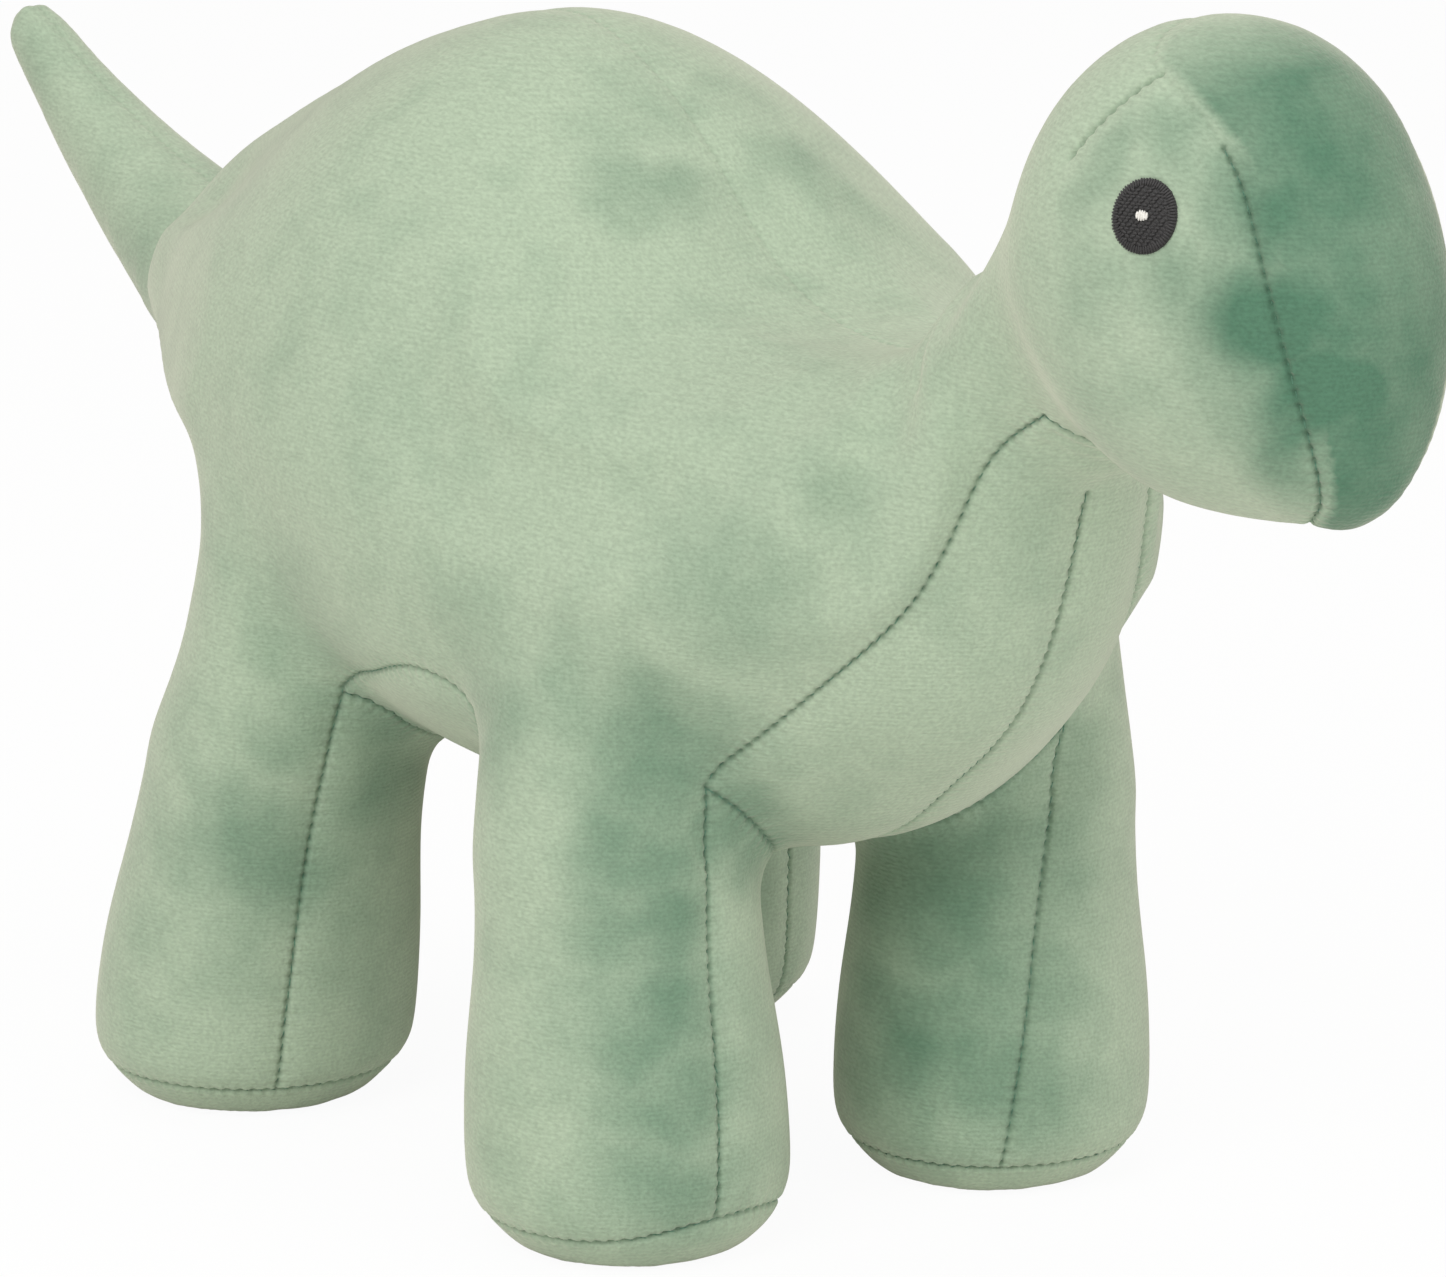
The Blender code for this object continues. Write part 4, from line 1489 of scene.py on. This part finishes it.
@dataclass
class Stitchwork:
    """Stitches of one thread: Geometry Nodes lay one on each given place, along its own direction."""

    finish: Thread
    radius: float
    looseness: float = 0.12

    def __post_init__(self) -> None:
        """Build the thread and the node tree that lays it."""
        self.material = self.finish.material()
        self.tree = self.laying_tree()

    def laying_tree(self) -> bpy.types.NodeTree:
        """Build the node tree: a bead of thread on each point, turned and drawn out as the point says."""
        tree = bpy.data.node_groups.new("laid_stitches", "GeometryNodeTree")
        tree.is_modifier = True
        tree.interface.new_socket("Geometry", in_out="INPUT", socket_type="NodeSocketGeometry")
        for name in ("Thread radius", "Looseness"):
            tree.interface.new_socket(name, in_out="INPUT", socket_type="NodeSocketFloat")
        tree.interface.new_socket("Geometry", in_out="OUTPUT", socket_type="NodeSocketGeometry")
        given = add_node(tree, "NodeGroupInput").outputs
        stored = "GeometryNodeInputNamedAttribute"
        lie = add_node(tree, stored, {"data_type": "FLOAT_VECTOR"}, {"Name": "lie"}).outputs["Attribute"]
        reach = add_node(tree, stored, {"data_type": "FLOAT"}, {"Name": "reach"}).outputs["Attribute"]
        turned = add_node(tree, "FunctionNodeAlignRotationToVector", {"axis": "Z"}, links={"Vector": lie})
        limits = {"Seed": SEED, 2: -1.0, 3: 1.0}
        spread = add_node(tree, "FunctionNodeRandomValue", {"data_type": "FLOAT"}, limits)
        loose = combined(tree, "MULTIPLY", spread.outputs[1], given["Looseness"])
        drawn = combined(tree, "MULTIPLY", reach, combined(tree, "ADD", loose, 1.0))
        thick, half = given["Thread radius"], combined(tree, "MULTIPLY", drawn, 0.5)
        size = add_node(tree, "ShaderNodeCombineXYZ", links={"X": thick, "Y": thick, "Z": half})
        bead = add_node(tree, "GeometryNodeMeshUVSphere", values={"Segments": 7, "Rings": 5, "Radius": 1.0})
        laid = add_node(
            tree,
            "GeometryNodeInstanceOnPoints",
            links={
                "Points": given["Geometry"],
                "Instance": bead.outputs["Mesh"],
                "Rotation": turned.outputs["Rotation"],
                "Scale": size.outputs["Vector"],
            },
        )
        real = add_node(tree, "GeometryNodeRealizeInstances", links={"Geometry": laid.outputs["Instances"]})
        dressed = add_node(
            tree,
            "GeometryNodeSetMaterial",
            values={"Material": self.material},
            links={"Geometry": real.outputs[0]},
        )
        add_node(tree, "NodeGroupOutput", links={"Geometry": dressed.outputs["Geometry"]})
        return tree

    def lay(self, name: str, places: np.ndarray, lies: np.ndarray, reaches: np.ndarray) -> bpy.types.Object:
        """Lay one stitch on each place.

        Args:
            name: The new piece's name.
            places: The stitches' middles.
            lies: Their directions.
            reaches: Their lengths.

        Returns:
            The stitches as one plain piece.
        """
        mesh = bpy.data.meshes.new(name)
        mesh.from_pydata(places.tolist(), [], [])
        set_attribute(mesh, "lie", lies)
        set_attribute(mesh, "reach", reaches)
        obj = add_object(name, mesh)
        items = self.tree.interface.items_tree
        sockets = {item.name: item.identifier for item in items if item.in_out == "INPUT"}
        modifier = obj.modifiers.new("Stitches", "NODES")
        modifier.node_group = self.tree
        modifier[sockets["Thread radius"]] = self.radius
        modifier[sockets["Looseness"]] = self.looseness
        shade_smooth(applied(obj))
        return obj


@dataclass
class SeamStitching:
    """The thread that shows at the bottom of the seams, one stitch after another."""

    skin: PlushSkin
    stitch: float = 1.8 * MM
    radius: float = 0.13 * MM
    finish: Thread = SEWING_THREAD

    def build(self) -> dict[str, bpy.types.Object]:
        """Lay stitches along every sewn line, one piece per body."""
        work = Stitchwork(self.finish, self.radius)
        rows: dict[str, list[np.ndarray]] = {}
        for seam in self.skin.seams:
            if not seam.kind.stitched:
                continue
            line = self.skin.lines[seam.name]
            step = max(round(STITCH_PITCH / seam.spacing), 1)
            for k in range(step // 2, len(line) - 1, step):
                owner = self.skin.owners(line[k : k + 1])[0]
                rows.setdefault(owner, []).append(np.concatenate([line[k], line[k + 1] - line[k - 1]]))
        made = {}
        for body, found in rows.items():
            row = np.array(found)
            made[body] = work.lay(f"{body}_stitches", row[:, :3], row[:, 3:], np.full(len(row), self.stitch))
        return made


@dataclass
class EmbroideredEye:
    """A round eye embroidered on the cheek: a raised filling, a satin rim and a white glint, in metres."""

    side: str
    surface: BVHTree
    thick: float = 0.7 * MM
    rim: float = 1.7 * MM
    row: float = 0.62 * MM
    stitch: float = 1.15 * MM
    tuck: float = 0.5 * MM
    sides: int = 56
    rim_stitches: int = 72
    columns: int = 8

    def __post_init__(self) -> None:
        """Read the eye's place and size from the CAD model and set up its own axes on the cheek."""
        low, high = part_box(f"eye_{self.side}")
        at, self.normal, _, _ = self.surface.find_nearest((low + high) / 2)
        self.middle = at
        self.up = (Vector((0, 0, 1)) - self.normal * self.normal.z).normalized()
        self.across = self.up.cross(self.normal)
        size = high - low
        self.half_height = size.z / 2
        self.half_width = Vector((size.x, size.y)).length / 2

    def on(self, across: float, up: float, lift: float) -> np.ndarray:
        """Return the place at so much across and up the eye, lifted off the cheek."""
        above = self.middle + self.across * across + self.up * up + self.normal * 0.02
        hit, _, _, _ = self.surface.ray_cast(above, -self.normal)
        return np.array(hit + self.normal * lift)

    def round(self, share: float, angle: float, lift: float) -> np.ndarray:
        """Return the place at a share of the eye's radius and an angle round it, lifted off the cheek."""
        across = self.half_width * share * math.cos(angle)
        up = self.half_height * share * math.sin(angle)
        return self.on(across, up, lift)

    @staticmethod
    def stitch_row(start: np.ndarray, end: np.ndarray, length: float) -> np.ndarray:
        """Return a stitch as its middle, its direction and its length."""
        return np.concatenate([(start + end) / 2, end - start, [length]])

    def dome(self, share: float) -> float:
        """Return how high the filling stands at a share of the eye's radius."""
        return self.thick * math.sqrt(max(1.0 - share**4, 0.0))

    def pad(self, material: bpy.types.Material) -> bpy.types.Object:
        """Make the raised filling under the stitches, tucked into the cloth at its edge."""
        bm = bmesh.new()
        middle = bm.verts.new(self.on(0, 0, self.dome(0)))
        angles = [2 * math.pi * k / self.sides for k in range(self.sides)]
        rings = []
        for share in (0.25, 0.5, 0.7, 0.85, 0.95, 1.0):
            lift = self.dome(share) - (self.tuck if share == 1.0 else 0.0)
            rings.append([bm.verts.new(self.round(share, angle, lift)) for angle in angles])
        for k in range(self.sides):
            n = (k + 1) % self.sides
            bm.faces.new((middle, rings[0][k], rings[0][n]))
            for inner, outer in zip(rings, rings[1:]):
                bm.faces.new((inner[k], outer[k], outer[n], inner[n]))
        base = bm.faces.new(rings[-1][::-1])
        bmesh.ops.triangulate(bm, faces=[base])
        bmesh.ops.recalc_face_normals(bm, faces=bm.faces)
        mesh = mesh_of(bm, f"eye_{self.side}_filling")
        shade_smooth(mesh)
        mesh.materials.append(material)
        return add_object(mesh.name, mesh)

    def rim_rows(self) -> list[np.ndarray]:
        """Return the satin rim's stitches: middle, direction and length of each."""
        rows = []
        share = 1.0 - 0.5 * self.rim / self.half_width
        for k in range(self.rim_stitches):
            angle = 2 * math.pi * k / self.rim_stitches
            ends = []
            for s in (share - 0.06, share + 0.06):
                lift = self.dome(min(s, 0.97)) + 0.1 * MM
                ends.append(self.round(s, angle, lift))
            rows.append(self.stitch_row(*ends, self.rim))
        return rows

    def filling_rows(self) -> list[np.ndarray]:
        """Return the filling's stitches, row by row, each row set off from the last."""
        rows = []
        inside = 1.0 - 0.8 * self.rim / self.half_width
        count = int(self.half_height / self.row)
        for j in range(-count, count + 1):
            up = j * self.row
            shift = (j * 0.37 % 1.0) * self.stitch
            for k in range(-self.columns, self.columns + 1):
                across = k * self.stitch + shift
                turn = math.sin(7.3 * j + 2.9 * k)
                share = math.hypot(across / self.half_width, up / self.half_height)
                if share > inside:
                    continue
                lift = self.dome(share) + 0.05 * MM
                half = 0.5 * self.row
                lean = 0.6 * turn * half
                start, end = (self.on(across + d * half, up + d * lean, lift) for d in (-1, 1))
                rows.append(self.stitch_row(start, end, self.stitch))
        return rows

    def glint_rows(self) -> list[np.ndarray]:
        """Return the white glint's few short stitches."""
        low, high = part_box(f"eye_highlight_{self.side}")
        half = (high.z - low.z) / 2
        rows = []
        for j in range(-2, 3):
            across = j * half / 2.4
            reach = 2 * math.sqrt(max(half**2 - across**2, 0.0))
            lift = self.dome(0) + 0.32 * MM
            start, end = (self.on(across, up, lift) for up in (-0.3 * half, 0.3 * half))
            rows.append(self.stitch_row(start, end, reach))
        return rows

    def build(self, black: Stitchwork, white: Stitchwork) -> list[bpy.types.Object]:
        """Make the filling, its stitches and the glint, and put them on the head.

        Args:
            black: The eye's thread.
            white: The glint's thread.

        Returns:
            The new pieces.
        """
        filling = self.pad(black.material)
        made = [filling]
        dark, pale = np.array(self.rim_rows() + self.filling_rows()), np.array(self.glint_rows())
        for name, work, row in (("embroidery", black, dark), ("glint", white, pale)):
            made.append(work.lay(f"eye_{self.side}_{name}", row[:, :3], row[:, 3:6], row[:, 6]))
        for obj, slot in zip(made, ("black_thread", "black_thread", "white_thread")):
            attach(obj, "head")
        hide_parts(f"eye_{self.side}")
        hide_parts(f"eye_highlight_{self.side}")
        return made


# Studio


@dataclass
class Studio:
    """A pale floor, soft lamps and the camera at the photograph's viewing angle."""

    camera_place: tuple[float, float, float] = (1.275, -0.849, 0.468)
    camera_aim: tuple[float, float, float] = (-0.0118, 0.0309, 0.0937)
    focal_pixels: float = 7860.0
    floor_colour: str = "#F7F6F4"
    floor_reach: float = 6.0
    floor_drop: float = 0.2 * MM
    floor_glow: float = 0.95
    toy_middle: tuple[float, float, float] = (0.0, 0.0, 0.12)

    def add_camera(self) -> None:
        """Add the camera and make it the scene's."""
        data = bpy.data.cameras.new("camera")
        data.sensor_width = 36.0
        data.lens = data.sensor_width * self.focal_pixels / PHOTO_WIDTH
        data.clip_start, data.clip_end = 0.05, 50.0
        camera = bpy.data.objects.new("camera", data)
        bpy.context.scene.collection.objects.link(camera)
        camera.location = self.camera_place
        aim = Vector(self.camera_aim) - camera.location
        camera.rotation_euler = aim.to_track_quat("-Z", "Y").to_euler()
        bpy.context.scene.camera = camera

    def floor_material(self) -> bpy.types.Material:
        """Build the white paper sweep, nearly white to the camera but for the toy's shadow."""
        material, tree, shader = new_material("white_paper_sweep")
        place = add_node(tree, "ShaderNodeTexCoord").outputs["Object"]
        shader.inputs["Base Color"].default_value = linear(self.floor_colour)
        shader.inputs["Specular IOR Level"].default_value = 0.1
        tree.links.new(mapped(tree, noise(tree, place, 1.4), 0.85, 0.95), shader.inputs["Roughness"])
        glow = add_node(tree, "ShaderNodeEmission", values={"Color": WHITE, "Strength": 1.0})
        path = add_node(tree, "ShaderNodeLightPath").outputs
        share = combined(tree, "MULTIPLY", path["Is Camera Ray"], self.floor_glow)
        mix_shaders(tree, share, shader.outputs["BSDF"], glow.outputs["Emission"], "Material Output")
        return material

    def add_floor(self) -> None:
        """Add the floor, a wide disc just under the soles."""
        bm = bmesh.new()
        bmesh.ops.create_circle(bm, cap_ends=True, segments=96, radius=self.floor_reach)
        mesh = mesh_of(bm, "floor")
        mesh.materials.append(self.floor_material())
        floor = add_object("floor", mesh)
        floor.location.z = -self.floor_drop

    def add_lamp(self, name: str, place: tuple[float, float, float], size: float, power: float) -> None:
        """Add one square soft box that faces the toy.

        Args:
            name: The lamp's name.
            place: Where it stands.
            size: The length of its side.
            power: Its power in watts.
        """
        data = bpy.data.lights.new(name, "AREA")
        data.size = size
        data.energy = power
        lamp = bpy.data.objects.new(name, data)
        lamp.location = place
        lamp.rotation_euler = (Vector(self.toy_middle) - Vector(place)).to_track_quat("-Z", "Y").to_euler()
        bpy.context.scene.collection.objects.link(lamp)

    def add_world(self) -> None:
        """Add an even pale sky that the camera and any gloss see as white."""
        world = bpy.data.worlds.new("white_room")
        world.use_nodes = True
        tree = world.node_tree
        soft = tree.nodes["Background"]
        soft.inputs["Color"].default_value = (1.0, 0.985, 0.965, 1.0)
        soft.inputs["Strength"].default_value = 0.42
        white = add_node(tree, "ShaderNodeBackground", values={"Color": WHITE, "Strength": 1.0})
        path = add_node(tree, "ShaderNodeLightPath").outputs
        seen = combined(tree, "MAXIMUM", path["Is Camera Ray"], path["Is Glossy Ray"])
        mix_shaders(tree, seen, soft.outputs["Background"], white.outputs["Background"], "World Output")
        bpy.context.scene.world = world

    def build(self) -> None:
        """Add everything that isn't the toy."""
        bpy.context.scene.view_settings.view_transform = "Standard"
        self.add_world()
        self.add_floor()
        self.add_camera()
        self.add_lamp("key_soft_box", (0.9, -1.5, 1.5), 1.4, 26.0)
        self.add_lamp("fill_soft_box", (1.7, 0.7, 0.9), 1.2, 9.0)
        self.add_lamp("top_soft_box", (-0.3, 0.1, 1.9), 1.4, 8.0)


def dress(part: SoftPart, piece: bpy.types.Object) -> None:
    """Put the trunk's piece on its body, and bake a limb's piece in place with no parent."""
    bend = part.bend()
    if bend is None:
        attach(piece, part.body)
    else:
        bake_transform(piece)
    LOG.info("%s: %d faces", piece.name, len(piece.data.polygons))


def main() -> None:
    """Build the studio and dress every body, and report each piece."""
    logging.basicConfig(level=logging.INFO, format="%(name)s: %(message)s")
    Studio().build()
    parts = all_parts()
    head = next(part for part in parts if isinstance(part, Head))
    skin = PlushSkin(parts, turned=head.face_panel())
    whole = skin.build()
    surface = surface_of(whole.data)
    pieces = skin.cut(whole)
    stitches = SeamStitching(skin).build()
    for part in skin.parts:
        piece = pieces[part.body]
        dress(part, piece)
        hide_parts(*part.nodes)
        if part.body in stitches:
            dress(part, stitches[part.body])
    black, white = Stitchwork(BLACK_THREAD, EYE_THREAD), Stitchwork(WHITE_THREAD, GLINT_THREAD)
    for side in LEFT_RIGHT:
        for piece in EmbroideredEye(side, surface).build(black, white):
            LOG.info("%s: %d faces", piece.name, len(piece.data.polygons))


if __name__ == "__main__":
    main()
